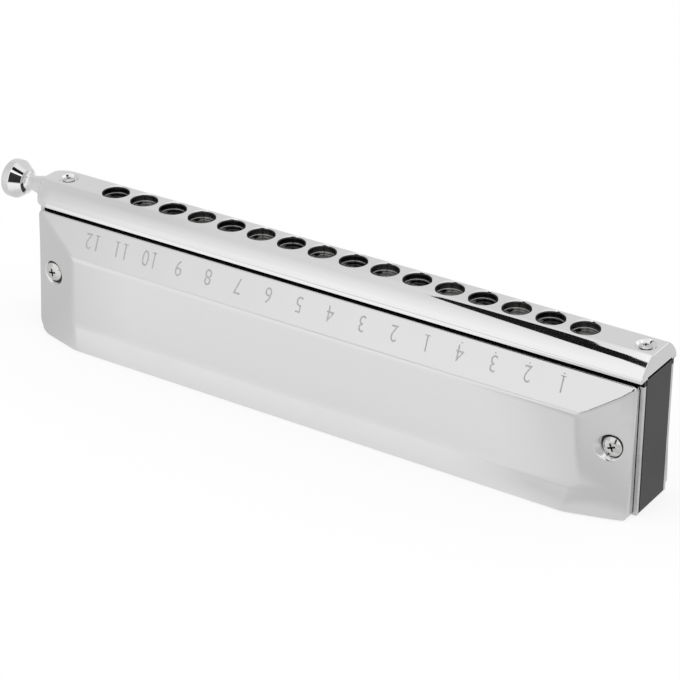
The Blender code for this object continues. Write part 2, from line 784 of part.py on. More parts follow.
def button_profile():
    """Returns the button's turned outline as (radius, distance from the nose face)."""
    taper_end = SEAT_GAP
    waist_end = taper_end + STEM_TAPER_LENGTH
    back_start = waist_end + WAIST_LENGTH
    barrel_start = back_start + KNOB_BACK_LENGTH
    barrel_end = barrel_start + KNOB_BARREL
    rim = KNOB_RADIUS - KNOB_EDGE
    points = [(0.0, barrel_end + KNOB_DOME)]
    for share in (0.5, 1.0):
        points.append((rim * share, barrel_end + KNOB_DOME * (1 - KNOB_BOW * share * share)))
    points += [
        (KNOB_RADIUS, barrel_end - KNOB_EDGE / 2),
        (KNOB_RADIUS, barrel_start + KNOB_EDGE / 2),
        (KNOB_RADIUS - KNOB_EDGE / 2, barrel_start),
        (WAIST_RADIUS + WAIST_LENGTH / 2, back_start),
        (WAIST_RADIUS, waist_end),
        (STEM_RADIUS, taper_end),
        (STEM_RADIUS, -STEM_DEPTH),
        (0.0, -STEM_DEPTH),
    ]
    return points


def build_button():
    """Button: knob and stem turned in one, with a forked flat that carries the slide."""
    button = turn_profile("button", button_profile(), KNOB_STEPS, CHROME)
    button.parent = CARRIER
    button.location = (NOSE_X, 0.0, STEM_AXIS)
    button.rotation_euler = (0.0, -math.pi / 2, 0.0)

    mesh = bmesh.new()
    add_box(
        mesh,
        (NOSE_X + NOSE_WALL / 2, -KNOB_RADIUS, SLIDE_LOW - SEAT_GAP),
        (STEM_END_X + CUT_OVERRUN, KNOB_RADIUS, MOUTH_TOP),
    )
    cut_away(button, "stem_flat", mesh)
    mesh = bmesh.new()
    half_width = MOUTH_SCREW_RADIUS + SEAT_GAP
    add_box(mesh, (FORK_ROOT_X, -half_width, 0.0), (STEM_END_X + CUT_OVERRUN, half_width, MOUTH_TOP))
    cut_away(button, "stem_fork", mesh)

    mesh = bmesh.new()
    for side in (-1, 1):
        place = (RIVET_X, side * RIVET_OFFSET)
        add_rod(mesh, (*place, 0.0), (*place, MOUTH_TOP), RIVET_RADIUS + PIN_GAP, SMALL_SIDES)
    cut_away(button, "stem_rivet_holes", mesh)

    mesh = bmesh.new()
    radial = Vector((0.0, -math.sin(PIN_HOLE_ANGLE), math.cos(PIN_HOLE_ANGLE)))
    axis_point = Vector((NOSE_X - PIN_HOLE_INSET, 0.0, STEM_AXIS))
    add_rod(
        mesh,
        axis_point + radial * (STEM_RADIUS - PIN_HOLE_DEPTH),
        axis_point + radial * (STEM_RADIUS + CUT_OVERRUN),
        PIN_HOLE_RADIUS,
        SMALL_SIDES,
    )
    cut_away(button, "stem_pin_hole", mesh)


def build_slide_rivet(name, side):
    """Slide rivet: joins the slide's tail to the stem's fork."""
    stem_low = STEM_AXIS - math.sqrt(STEM_RADIUS ** 2 - RIVET_OFFSET ** 2)
    head_low = SLIDE_TOP + SLIDE_GAP
    head_top = head_low + RIVET_HEAD_HEIGHT
    crown = RIVET_HEAD_RADIUS - RIVET_HEAD_HEIGHT / 2
    profile = [
        (0.0, head_top),
        (crown, head_top),
        (RIVET_HEAD_RADIUS, head_top - RIVET_HEAD_HEIGHT / 2),
        (RIVET_HEAD_RADIUS, head_low),
        (RIVET_RADIUS, head_low),
        (RIVET_RADIUS, stem_low),
        (0.0, stem_low),
    ]
    rivet = turn_profile(name, profile, SMALL_SIDES, STEEL)
    rivet.parent = CARRIER
    rivet.location = (RIVET_X, side * RIVET_OFFSET, 0.0)


def build_spring():
    """Slide spring: a hairpin wire, coiled on its post, that pushes the slide out."""
    points = []
    leg_y = COIL_WIDTH / 2
    points.append((SPRING_HOLE_X, leg_y, SLIDE_TOP - SLIDE_GAP))
    points.append((SPRING_HOLE_X, leg_y, SPRING_HEIGHT + COIL_RADIUS))
    sweep = BRACED_LEG_START + COIL_TURNS * 2 * math.pi - math.pi
    steps = round(sweep / (2 * math.pi) * COIL_POINTS)
    for step in range(steps + 1):
        share = step / steps
        angle = math.pi + sweep * share
        points.append(
            (
                SPRING_X + COIL_RADIUS * math.cos(angle),
                leg_y - COIL_WIDTH * share,
                SPRING_HEIGHT + COIL_RADIUS * math.sin(angle),
            )
        )
    last = points[-1]
    brace_x = SPRING_X - POCKET_LEFT_REACH + SEAT_GAP + WIRE_RADIUS
    run = (last[0] - brace_x) / math.sin(BRACED_LEG_START)
    points.append((brace_x, last[1], last[2] + run * math.cos(BRACED_LEG_START)))

    curve = bpy.data.curves.new("slide_spring", "CURVE")
    curve.dimensions = "3D"
    curve.bevel_depth = WIRE_RADIUS
    curve.bevel_resolution = 2
    curve.use_fill_caps = True
    line = curve.splines.new("POLY")
    line.points.add(len(points) - 1)
    for knot, point in zip(line.points, points):
        knot.co = (*point, 1.0)
    spring = bpy.data.objects.new("slide_spring", curve)
    curve.materials.append(STEEL)
    PARTS.objects.link(spring)


def build_spring_post():
    """Spring post: the pin through the comb that carries the spring's coil."""
    mesh = bmesh.new()
    reach = COMB_SIDE
    add_rod(
        mesh,
        (SPRING_X, -reach, SPRING_HEIGHT),
        (SPRING_X, reach, SPRING_HEIGHT),
        COIL_RADIUS - WIRE_RADIUS - SEAT_GAP,
        SMALL_SIDES,
    )
    smooth_round(make_part("spring_post", mesh, STEEL))


def build_bumper(name, side):
    """Slide bumper: a rubber sleeve on a mouthpiece screw that stops the slide."""
    profile = [
        (BUMPER_OUTER, SLIDE_TOP),
        (BUMPER_OUTER, SLIDE_LOW),
        (BUMPER_INNER, SLIDE_LOW),
        (BUMPER_INNER, SLIDE_TOP),
        (BUMPER_OUTER, SLIDE_TOP),
    ]
    bumper = turn_profile(name, profile, BORE_SIDES, RUBBER)
    bumper.location = (side * SCREW_X, 0.0, 0.0)


def add_cross(item, name, place, inward, along, across):
    """Cuts a cross recess for a screwdriver into a head."""
    for tag, first, second in (("a", along, across), ("b", across, along)):
        mesh = bmesh.new()
        reach = Vector(first) * DRIVE_LENGTH / 2 + Vector(second) * DRIVE_WIDTH / 2
        spread = Vector([abs(value) for value in reach])
        outward = Vector(inward) * -CUT_OVERRUN
        deep = Vector(inward) * DRIVE_DEPTH
        start = Vector(place) + outward
        end = Vector(place) + deep
        low = Vector([min(a, b) for a, b in zip(start, end)]) - spread
        high = Vector([max(a, b) for a, b in zip(start, end)]) + spread
        add_box(mesh, low, high)
        cut_away(item, name + "_drive_" + tag, mesh)


def domed_head(radius, height):
    """Returns a low domed head's outline, from its crown down to its rim."""
    return [(radius * out, height * up) for out, up in HEAD_DOME]


def screw_profile(head_radius, head_height, shank_radius, length):
    """Returns a domed screw's outline: head above zero, shank below it."""
    shank = [(shank_radius, 0.0), (shank_radius, -length), (0.0, -length)]
    return domed_head(head_radius, head_height) + shank


def build_mouth_screw(name, side):
    """Mouthpiece screw: holds the mouthpiece down on the comb."""
    seat = MOUTH_TOP - DIMPLE_DEPTH + SEAT_GAP
    length = MOUTH_SCREW_LENGTH - DIMPLE_DEPTH
    profile = screw_profile(MOUTH_HEAD_RADIUS, MOUTH_HEAD_HEIGHT, MOUTH_SCREW_RADIUS, length)
    screw = turn_profile(name, profile, HEAD_STEPS, STEEL)
    screw.location = (side * SCREW_X, 0.0, seat)
    top = (side * SCREW_X, 0.0, seat + MOUTH_HEAD_HEIGHT)
    add_cross(screw, name, top, (0.0, 0.0, -1.0), (1.0, 0.0, 0.0), (0.0, 1.0, 0.0))


def cover_height(x, z):
    """Returns the cover's outer height over the reed plate on its end slope."""
    flare = (z - PLATEAU_FLARE_EDGE) / (PLATEAU_FRONT_EDGE - PLATEAU_FLARE_EDGE)
    plateau = PLATEAU_FLARE_HEIGHT + (PLATEAU_FRONT_HEIGHT - PLATEAU_FLARE_HEIGHT) * flare
    wall = END_WALL_FLARE + (END_WALL_FRONT - END_WALL_FLARE) * flare
    start = HALF_LENGTH - PLATEAU_END_INSET
    end = COVER_END - COVER_WALL_LEAN
    share = (abs(x) - start) / (end - start)
    return plateau + (wall - plateau) * share


def cover_columns(row):
    """Returns the half cover's (x, height) places in one row, middle to end."""
    z, plateau, wall, narrowing = row
    start = HALF_LENGTH - PLATEAU_END_INSET - narrowing
    end = COVER_END - COVER_WALL_LEAN
    return ((0.0, plateau), (start, plateau), (end, wall), (COVER_END, 0.0))


def cover_rows():
    """Returns the cover's rows (z, plateau height, wall height, narrowing), rear to front."""
    return (
        (-COVER_SHEET, PLATEAU_REAR_HEIGHT, END_WALL_REAR, PLATEAU_REAR_NARROWING),
        (PLATEAU_FLARE_EDGE, PLATEAU_FLARE_HEIGHT, END_WALL_FLARE, 0.0),
        (PLATEAU_FRONT_EDGE, PLATEAU_FRONT_HEIGHT, END_WALL_FRONT, 0.0),
        (COVER_FRONT_EDGE - COVER_WALL_LEAN, LIP_HEIGHT, LIP_HEIGHT, 0.0),
        (COVER_FRONT_EDGE, 0.0, 0.0, 0.0),
    )


def build_cover(name, side):
    """Cover: a pressed sheet with a plateau, sloped ends and front, and an open rear."""
    rows = cover_rows()
    mesh = bmesh.new()
    bmesh.ops.create_grid(mesh, x_segments=3, y_segments=len(rows) - 1, size=1.0)
    mesh.verts.ensure_lookup_table()
    ordered = sorted(mesh.verts, key=lambda vert: (round(vert.co.y, 4), round(vert.co.x, 4)))
    grid = [ordered[index * 4:index * 4 + 4] for index in range(len(rows))]
    for line, row in zip(grid, rows):
        for vert, (x, height) in zip(line, cover_columns(row)):
            vert.co = (x, side * (PLATE_FACE + height), row[0])
    bmesh.ops.connect_vert_pair(mesh, verts=[grid[2][1], grid[3][2]])
    corner = (grid[3][3], grid[4][2], grid[4][3])
    for vert in corner:
        vert.co = (COVER_END, side * PLATE_FACE, COVER_FRONT_EDGE)
    bmesh.ops.remove_doubles(mesh, verts=corner, dist=PIN_GAP)
    mesh.normal_update()
    outward = sum(face.normal.y * face.calc_area() for face in mesh.faces)
    if outward * side < 0:
        bmesh.ops.reverse_faces(mesh, faces=mesh.faces)
    cover = make_part(name, mesh, CHROME)

    halves = cover.modifiers.new("mirror", "MIRROR")
    halves.use_axis[0] = True
    halves.merge_threshold = 0.00001
    rounding = cover.modifiers.new("creases", "BEVEL")
    rounding.width = CREASE_ROUND
    rounding.segments = 2
    rounding.limit_method = "ANGLE"
    rounding.angle_limit = math.radians(8.0)
    shell = cover.modifiers.new("sheet", "SOLIDIFY")
    shell.thickness = COVER_SHEET
    shell.offset = -1.0
    shell.use_even_offset = True
    cover.modifiers.new("facets", "TRIANGULATE")
    smooth_round(cover)

    floor = PLATE_FACE + cover_height(BOLT_X, COVER_BOLT_HEIGHT) - DISH_DROP
    cups = bmesh.new()
    dishes = bmesh.new()
    holes = bmesh.new()
    for end_side in (-1, 1):
        place = end_side * BOLT_X
        cup = bmesh.new()
        top = floor + DISH_DROP
        start = (place, side * (floor - COVER_SHEET), COVER_BOLT_HEIGHT)
        add_rod(cup, start, (place, side * top, COVER_BOLT_HEIGHT), DISH_RADIUS + DISH_WALL, BORE_SIDES)
        for vert in cup.verts:
            if abs(vert.co.y) > floor:
                surface = PLATE_FACE + cover_height(vert.co.x, vert.co.z)
                vert.co.y = side * (surface - COVER_SHEET / 2)
        spare = bpy.data.meshes.new("cup")
        cup.to_mesh(spare)
        cup.free()
        cups.from_mesh(spare)
        bpy.data.meshes.remove(spare)
        reach = floor + PLATEAU_REAR_HEIGHT
        dish_start = (place, side * floor, COVER_BOLT_HEIGHT)
        dish_end = (place, side * reach, COVER_BOLT_HEIGHT)
        add_rod(dishes, dish_start, dish_end, DISH_RADIUS, BORE_SIDES)
        hole_start = (place, side * COVER_BASE, COVER_BOLT_HEIGHT)
        add_rod(holes, hole_start, dish_end, COVER_NUT_RADIUS + SEAT_GAP, SMALL_SIDES)
    trim = bmesh.new()
    low = min(side * COVER_BASE, side * COMB_SIDE)
    high = max(side * COVER_BASE, side * COMB_SIDE)
    add_box(trim, (-HALF_LENGTH, low, -CUT_OVERRUN), (HALF_LENGTH, high, COMB_HEIGHT))
    reach = PLATE_FACE + PLATEAU_REAR_HEIGHT + CUT_OVERRUN
    rear = bmesh.new()
    add_box(rear, (-HALF_LENGTH, -reach, -CUT_OVERRUN), (HALF_LENGTH, reach, COVER_REAR_EDGE))
    cut_away(cover, name + "_base_trim", trim)
    cut_away(cover, name + "_rear_trim", rear)
    join_on(cover, name + "_cups", cups)
    cut_away(cover, name + "_dishes", dishes)
    cut_away(cover, name + "_bolt_holes", holes)


def build_cover_bolt(name, end_side):
    """Cover bolt: runs from the front cover through the comb into its nut."""
    seat = PLATE_FACE + cover_height(BOLT_X, COVER_BOLT_HEIGHT) - DISH_DROP + SEAT_GAP
    length = 2 * seat - SEAT_GAP - COVER_HEAD_HEIGHT
    profile = screw_profile(COVER_HEAD_RADIUS, COVER_HEAD_HEIGHT, COVER_BOLT_RADIUS, length)
    bolt = turn_profile(name, profile, HEAD_STEPS, STEEL)
    bolt.location = (end_side * BOLT_X, -seat, COVER_BOLT_HEIGHT)
    bolt.rotation_euler = (math.pi / 2, 0.0, 0.0)
    top = (end_side * BOLT_X, -seat - COVER_HEAD_HEIGHT, COVER_BOLT_HEIGHT)
    add_cross(bolt, name, top, (0.0, 1.0, 0.0), (1.0, 0.0, 0.0), (0.0, 0.0, 1.0))


def build_cover_nut(name, end_side):
    """Cover nut: a headed sleeve nut in the rear cover that takes the bolt."""
    seat = PLATE_FACE + cover_height(BOLT_X, COVER_BOLT_HEIGHT) - DISH_DROP + SEAT_GAP
    bore = COVER_BOLT_RADIUS + SEAT_GAP
    sleeve = COVER_NUT_LENGTH
    profile = domed_head(COVER_HEAD_RADIUS, COVER_HEAD_HEIGHT) + [
        (COVER_NUT_RADIUS, 0.0),
        (COVER_NUT_RADIUS, -sleeve),
        (bore, -sleeve),
        (bore, -SEAT_GAP),
        (0.0, -SEAT_GAP),
    ]
    nut = turn_profile(name, profile, HEAD_STEPS, STEEL)
    nut.location = (end_side * BOLT_X, seat, COVER_BOLT_HEIGHT)
    nut.rotation_euler = (-math.pi / 2, 0.0, 0.0)
    top = (end_side * BOLT_X, seat + COVER_HEAD_HEIGHT, COVER_BOLT_HEIGHT)
    add_cross(nut, name, top, (0.0, -1.0, 0.0), (1.0, 0.0, 0.0), (0.0, 0.0, 1.0))


def build_plate_screw(name, side, step):
    """Plate screw: one of three that hold a reed plate's rear edge to the comb."""
    profile = screw_profile(
        PLATE_HEAD_RADIUS,
        PLATE_HEAD_HEIGHT,
        PLATE_SCREW_RADIUS,
        PLATE_SCREW_LENGTH,
    )
    screw = turn_profile(name, profile, SMALL_SIDES, STEEL)
    screw.location = (step * PLATE_SCREW_SPACING, side * (PLATE_FACE + SEAT_GAP), PLATE_SCREW_HEIGHT)
    screw.rotation_euler = (-side * math.pi / 2, 0.0, 0.0)


clear_scene()
PARTS = new_collection("chromatic_harmonica")
CUTTERS = new_collection("cutters")
CHROME = make_material("chrome_plate", (0.8, 0.8, 0.8), 0.08, 1.0)
STEEL = make_material("stainless_steel", (0.62, 0.62, 0.61), 0.3, 1.0)
PLATE_METAL = make_material("nickel_silver_plate", (0.66, 0.65, 0.62), 0.32, 1.0)
REED_METAL = make_material("reed_bronze", (0.7, 0.56, 0.36), 0.3, 1.0)
PLASTIC = make_material("comb_plastic", (0.1, 0.1, 0.1), 0.5, 0.0)
RUBBER = make_material("bumper_rubber", (0.03, 0.03, 0.03), 0.8, 0.0)

# Empty on the slide's axis that carries everything the button moves
CARRIER = bpy.data.objects.new("slide_carrier", None)
PARTS.objects.link(CARRIER)

build_comb()
for plate_side, plate_sign in (("front", -1), ("rear", 1)):
    build_reed_plate("reed_plate_" + plate_side, plate_sign)
    build_outer_reeds(plate_side, plate_sign)
    build_cover("cover_" + plate_side, plate_sign)
    for plate_step in (-1, 0, 1):
        build_plate_screw(f"plate_screw_{plate_side}_{plate_step + 2}", plate_sign, plate_step)
    build_slide_rivet("slide_rivet_" + plate_side, plate_sign)
build_mouthpiece()
build_backing_plate()
build_slide_guide()
build_slide()
build_button()
build_spring()
build_spring_post()
for end_name, end_sign in (("left", -1), ("right", 1)):
    build_bumper("slide_bumper_" + end_name, end_sign)
    build_mouth_screw("mouthpiece_screw_" + end_name, end_sign)
    build_cover_bolt("cover_bolt_" + end_name, end_sign)
    build_cover_nut("cover_nut_" + end_name, end_sign)
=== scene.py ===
"""The looks of a sixteen-hole chromatic harmonica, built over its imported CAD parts.

Lengths are metres in the CAD frame: +Z is up, the numbered cover faces -Y, the
button stands out at -X, and the origin is the middle of the comb's back face.
"""

import logging
import math
from dataclasses import dataclass
from enum import Enum
from typing import Callable, Iterable, NamedTuple, Sequence

import bmesh
import bpy
from bmesh.types import BMesh, BMFace, BMVert
from bpy.types import Material, Node, NodeSocket, NodeTree, Object
from mathutils import Matrix, Vector


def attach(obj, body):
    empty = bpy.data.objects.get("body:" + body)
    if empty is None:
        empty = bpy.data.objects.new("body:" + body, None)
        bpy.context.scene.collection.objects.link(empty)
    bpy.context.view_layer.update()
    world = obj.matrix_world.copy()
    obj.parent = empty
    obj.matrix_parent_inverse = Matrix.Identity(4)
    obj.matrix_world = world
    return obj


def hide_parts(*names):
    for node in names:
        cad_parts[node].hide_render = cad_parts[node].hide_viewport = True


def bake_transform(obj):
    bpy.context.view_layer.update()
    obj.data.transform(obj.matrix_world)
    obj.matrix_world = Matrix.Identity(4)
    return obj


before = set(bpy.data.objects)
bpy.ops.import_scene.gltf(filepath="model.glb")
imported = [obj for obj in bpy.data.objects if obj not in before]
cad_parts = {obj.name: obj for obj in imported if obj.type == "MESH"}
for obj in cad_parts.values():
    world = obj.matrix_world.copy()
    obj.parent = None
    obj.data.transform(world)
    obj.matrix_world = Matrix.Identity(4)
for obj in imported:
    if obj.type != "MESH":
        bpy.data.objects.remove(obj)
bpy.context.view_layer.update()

LOG = logging.getLogger("harmonica")
MM = 0.001
HOLES = 16
HOLE_PITCH = 9.4 * MM
HOLE_XS = tuple((index - (HOLES - 1) / 2) * HOLE_PITCH for index in range(HOLES))
MOUTH_TOP = 42.0 * MM
MOUTH_ROOF_LOW = 40.6 * MM
PLATE_FACE = 7.43 * MM
HALF_LENGTH = 90.5 * MM
NOSE_X = -93.3 * MM
SCREW_X = 86.5 * MM
BOLT_X = 84.6 * MM
BOLT_Z = 18.9 * MM
OVERRUN = 2.0 * MM
RADIAL = (Vector((1.0, 0.0, 0.0)), Vector((0.0, 0.0, 1.0)))
SECTION = (Vector((0.0, 1.0, 0.0)), Vector((0.0, 0.0, 1.0)))
LEVEL = (Vector((1.0, 0.0, 0.0)), Vector((0.0, 1.0, 0.0)))
RANGE = ("From Min", "From Max", "To Min", "To Max")

Colour = tuple[float, float, float, float]
Pairs = tuple[tuple[float, float], ...]


class Carrier(Enum):
    """The CAD bodies that pieces ride on."""

    INSTRUMENT = "instrument"
    SLIDE = "slide_and_button"


class Side(Enum):
    """The two flat sides of the instrument, as the sign of Y."""

    FRONT = -1
    REAR = 1


class End(Enum):
    """The two ends of the instrument, as the sign of X."""

    LEFT = -1
    RIGHT = 1


class Slot(Enum):
    """The record's material slots that new pieces take."""

    CHROME = "chrome"
    STEEL = "steel"


def linear(code: str) -> Colour:
    """Turn an sRGB hex code into a linear colour.

    Args:
        code: The colour as "#RRGGBB".

    Returns:
        Linear red, green, blue and an alpha of one.
    """
    shares = [int(code[place:place + 2], 16) / 255 for place in (1, 3, 5)]
    curve = [s / 12.92 if s <= 0.04045 else ((s + 0.055) / 1.055) ** 2.4 for s in shares]
    return (curve[0], curve[1], curve[2], 1.0)


def grey(tone: float) -> Colour:
    """Give a linear grey."""
    return (tone, tone, tone, 1.0)


# Mesh tools


class Corner(NamedTuple):
    """A corner of an outline and the radius that rounds it."""

    across: float
    along: float
    radius: float = 0.0


class Outline:
    """An open flat outline with rounded corners, drawn from vertex extrusions and spins."""

    def __init__(
        self,
        corners: Sequence[Corner],
        plane: tuple[Vector, Vector],
        arc_step: float = math.radians(7.5),
    ) -> None:
        """Draw the outline.

        Args:
            corners: Its corners in order.
            plane: The directions of a corner's across and along.
            arc_step: The longest turn of one step of an arc.
        """
        self.mesh = bmesh.new()
        self.arc_step = arc_step
        points = [plane[0] * corner.across + plane[1] * corner.along for corner in corners]
        self.tip = self.mesh.verts.new(points[0])
        for index, corner in enumerate(corners[1:], start=1):
            if corner.radius > 0 and index + 1 < len(corners):
                self._round(points[index], points[index + 1], corner.radius)
            else:
                self._run_to(points[index])

    def _run_to(self, point: Vector) -> None:
        """Draw a straight run to a point."""
        self.tip = bmesh.ops.extrude_vert_indiv(self.mesh, verts=[self.tip])["verts"][0]
        self.tip.co = point

    def _round(self, corner: Vector, after: Vector, radius: float) -> None:
        """Draw a run and the arc that rounds a corner.

        Args:
            corner: The corner itself.
            after: The next corner.
            radius: The arc's radius.
        """
        back = (self.tip.co - corner).normalized()
        ahead = (after - corner).normalized()
        half = back.angle(ahead) / 2
        reach = radius / math.tan(half)
        self._run_to(corner + back * reach)
        middle = corner + (back + ahead).normalized() * (radius / math.sin(half))
        first = self.tip.co - middle
        last = corner + ahead * reach - middle
        sweep = first.angle(last)
        turned = bmesh.ops.spin(
            self.mesh,
            geom=[self.tip],
            cent=middle,
            axis=first.cross(last).normalized(),
            dvec=(0.0, 0.0, 0.0),
            angle=sweep,
            steps=max(2, math.ceil(sweep / self.arc_step)),
        )
        self.tip = turned["geom_last"][0]

    def turned(self, steps: int) -> BMesh:
        """Turn the outline about Z into a closed body.

        Args:
            steps: The number of facets round it.

        Returns:
            The turned mesh.
        """
        bmesh.ops.spin(
            self.mesh,
            geom=[*self.mesh.verts, *self.mesh.edges],
            cent=(0.0, 0.0, 0.0),
            axis=(0.0, 0.0, 1.0),
            dvec=(0.0, 0.0, 0.0),
            angle=math.tau,
            steps=steps,
            use_merge=True,
        )
        bmesh.ops.remove_doubles(self.mesh, verts=self.mesh.verts, dist=0.0005 * MM)
        bmesh.ops.recalc_face_normals(self.mesh, faces=self.mesh.faces)
        return self.mesh


def gather(target: BMesh, source: BMesh, place: Matrix) -> None:
    """Add a placed mesh to another and free it.

    Args:
        target: The mesh that grows.
        source: The mesh that is added.
        place: Where it goes.
    """
    bmesh.ops.transform(source, matrix=place, verts=source.verts)
    spare = bpy.data.meshes.new("spare")
    source.to_mesh(spare)
    source.free()
    target.from_mesh(spare)
    bpy.data.meshes.remove(spare)


def box(low: Sequence[float], high: Sequence[float]) -> BMesh:
    """Make a box between two corners.

    Args:
        low: The lowest corner.
        high: The highest corner.

    Returns:
        Its mesh.
    """
    mesh = bmesh.new()
    size = Vector(high) - Vector(low)
    place = Matrix.Translation((Vector(high) + Vector(low)) / 2) @ Matrix.Diagonal((*size, 1.0))
    bmesh.ops.create_cube(mesh, size=1.0, matrix=place)
    return mesh


def add_rod(
    mesh: BMesh, start: Sequence[float], end: Sequence[float], radius: float, sides: int
) -> BMesh:
    """Add a round rod between two points to a mesh.

    Args:
        mesh: The mesh that grows.
        start: One end's middle.
        end: The other end's middle.
        radius: The rod's radius.
        sides: Its facets.

    Returns:
        The grown mesh.
    """
    along = Vector(end) - Vector(start)
    turn = along.to_track_quat("Z", "Y").to_matrix().to_4x4()
    place = Matrix.Translation((Vector(start) + Vector(end)) / 2) @ turn
    sizes = {"radius1": radius, "radius2": radius, "depth": along.length}
    bmesh.ops.create_cone(mesh, cap_ends=True, segments=sides, matrix=place, **sizes)
    return mesh


def add_turned(
    mesh: BMesh, corners: Sequence[Corner], places: Iterable[float], steps: int
) -> None:
    """Add a turned body at each of several places along the instrument.

    Args:
        mesh: The mesh that grows.
        corners: The body's outline, radius against height.
        places: Where its axis stands on X.
        steps: Its facets.
    """
    for place in places:
        turned = Outline(corners, RADIAL).turned(steps)
        gather(mesh, turned, Matrix.Translation((place, 0.0, 0.0)))


def new_piece(name: str, mesh: BMesh) -> Object:
    """Turn a bmesh into an object of the scene and free it.

    Args:
        name: The object's name.
        mesh: Its mesh.

    Returns:
        The object.
    """
    data = bpy.data.meshes.new(name)
    mesh.to_mesh(data)
    mesh.free()
    piece = bpy.data.objects.new(name, data)
    bpy.context.scene.collection.objects.link(piece)
    return piece


def discard(piece: Object) -> None:
    """Delete a piece with its mesh.

    Args:
        piece: The piece.
    """
    spare = piece.data
    bpy.data.objects.remove(piece)
    bpy.data.meshes.remove(spare)


def settle(piece: Object) -> None:
    """Turn a piece's modifiers into its mesh.

    Args:
        piece: The piece.
    """
    graph = bpy.context.evaluated_depsgraph_get()
    data = bpy.data.meshes.new_from_object(piece.evaluated_get(graph), depsgraph=graph)
    spare = piece.data
    piece.modifiers.clear()
    piece.data = data
    bpy.data.meshes.remove(spare)


def carve(piece: Object, tool: BMesh, operation: str = "DIFFERENCE") -> None:
    """Cut a tool body from a piece, or join it on.

    Args:
        piece: The piece that changes.
        tool: The tool body, which is used up.
        operation: The boolean's operation.
    """
    cutter = new_piece(piece.name + "_tool", tool)
    step = piece.modifiers.new("cut", "BOOLEAN")
    step.operation = operation
    step.solver = "EXACT"
    step.object = cutter
    settle(piece)
    discard(cutter)


def joined(*bodies: BMesh) -> BMesh:
    """Join tool bodies into one.

    Args:
        bodies: The bodies, which are used up.

    Returns:
        The joined body.
    """
    first, *others = bodies
    piece = new_piece("tool", first)
    for body in others:
        carve(piece, body, "UNION")
    mesh = bmesh.new()
    mesh.from_mesh(piece.data)
    discard(piece)
    return mesh


def shade(piece: Object, sharp: float = 30.0) -> None:
    """Shade a piece smooth, with its large flats kept flat.

    Args:
        piece: The piece.
        sharp: The angle in degrees from which an edge stays sharp.
    """
    piece.data.shade_smooth()
    piece.data.set_sharp_from_angle(angle=math.radians(sharp))
    step = piece.modifiers.new("flats", "WEIGHTED_NORMAL")
    step.keep_sharp = True
    step.weight = 100
    settle(piece)


# Finishes


def add_node(
    tree: NodeTree,
    kind: str,
    settings: dict[str | int, object] | None = None,
    links: dict[str | int, Node | NodeSocket] | None = None,
) -> Node:
    """Add a node with its settings and links.

    Args:
        tree: The node tree.
        kind: The node's type, without the ShaderNode that it starts with.
        settings: Values by attribute, or by input name or number; "stops" holds a
            colour ramp's places and greys.
        links: What feeds an input, by its name or number: a socket, or a node whose
            first output in use is meant.

    Returns:
        The node.
    """
    node = tree.nodes.new("ShaderNode" + kind)
    for key, value in (settings or {}).items():
        if key == "stops":
            first, *others = value
            node.color_ramp.elements.remove(node.color_ramp.elements[1])
            node.color_ramp.elements[0].position = first[0]
            node.color_ramp.elements[0].color = grey(first[1])
            for spot, tone in others:
                node.color_ramp.elements.new(spot).color = grey(tone)
        elif isinstance(key, str) and hasattr(node, key):
            setattr(node, key, value)
        else:
            node.inputs[key].default_value = value
    for key, source in (links or {}).items():
        if isinstance(source, Node):
            source = next(socket for socket in source.outputs if socket.enabled)
        tree.links.new(source, node.inputs[key])
    return node


class Skin(NamedTuple):
    """What a finish draws on: the tree, its shader and the object's coordinates."""

    tree: NodeTree
    shader: Node
    place: NodeSocket


@dataclass(frozen=True)
class Finish:
    """A surface of one real material and process."""

    name: str
    shade: str
    metallic: float = 1.0
    smoothest: float = 0.03
    haziest: float = 0.08

    def material(self) -> Material:
        """Give the finish's material, made once.

        Returns:
            The material.
        """
        ready = bpy.data.materials.get(self.name)
        if ready is not None:
            return ready
        material = bpy.data.materials.new(self.name)
        material.use_nodes = True
        tree = material.node_tree
        shader = tree.nodes["Principled BSDF"]
        shader.inputs["Base Color"].default_value = linear(self.shade)
        shader.inputs["Metallic"].default_value = self.metallic
        self.surface(Skin(tree, shader, add_node(tree, "TexCoord").outputs["Object"]))
        return material

    def surface(self, skin: Skin) -> None:
        """Draw the surface's own pattern."""
        raise NotImplementedError

    def roughen(
        self, skin: Skin, gloss: Node, span: tuple[float, float], relief: Node, depth: float
    ) -> None:
        """Let one pattern vary the gloss and another raise the surface.

        Args:
            skin: What to draw on.
            gloss: The pattern of the gloss.
            span: Its values where the surface is smoothest and haziest.
            relief: The pattern of the relief.
            depth: The relief's depth.
        """
        tree, shader, _ = skin
        limits = dict(zip(RANGE, (*span, self.smoothest, self.haziest)))
        haze = add_node(tree, "MapRange", limits, {"Value": gloss})
        tree.links.new(haze.outputs["Result"], shader.inputs["Roughness"])
        bump = add_node(tree, "Bump", {"Strength": 1.0, "Distance": depth}, {"Height": relief})
        tree.links.new(bump.outputs["Normal"], shader.inputs["Normal"])

    def tint(self, skin: Skin, other: str, share: Node) -> None:
        """Let a pattern blend another colour over what the surface has so far.

        Args:
            skin: What to draw on.
            other: The other colour.
            share: The pattern of its share.
        """
        colour = skin.shader.inputs["Base Color"]
        links = {0: share} | {6: link.from_socket for link in colour.links}
        settings = {"data_type": "RGBA", 6: linear(self.shade), 7: linear(other)}
        mix = add_node(skin.tree, "Mix", settings, links)
        skin.tree.links.new(mix.outputs[2], colour)

    def dress(self, piece: Object) -> None:
        """Give a piece this finish in place of any other."""
        piece.data.materials.clear()
        piece.data.materials.append(self.material())


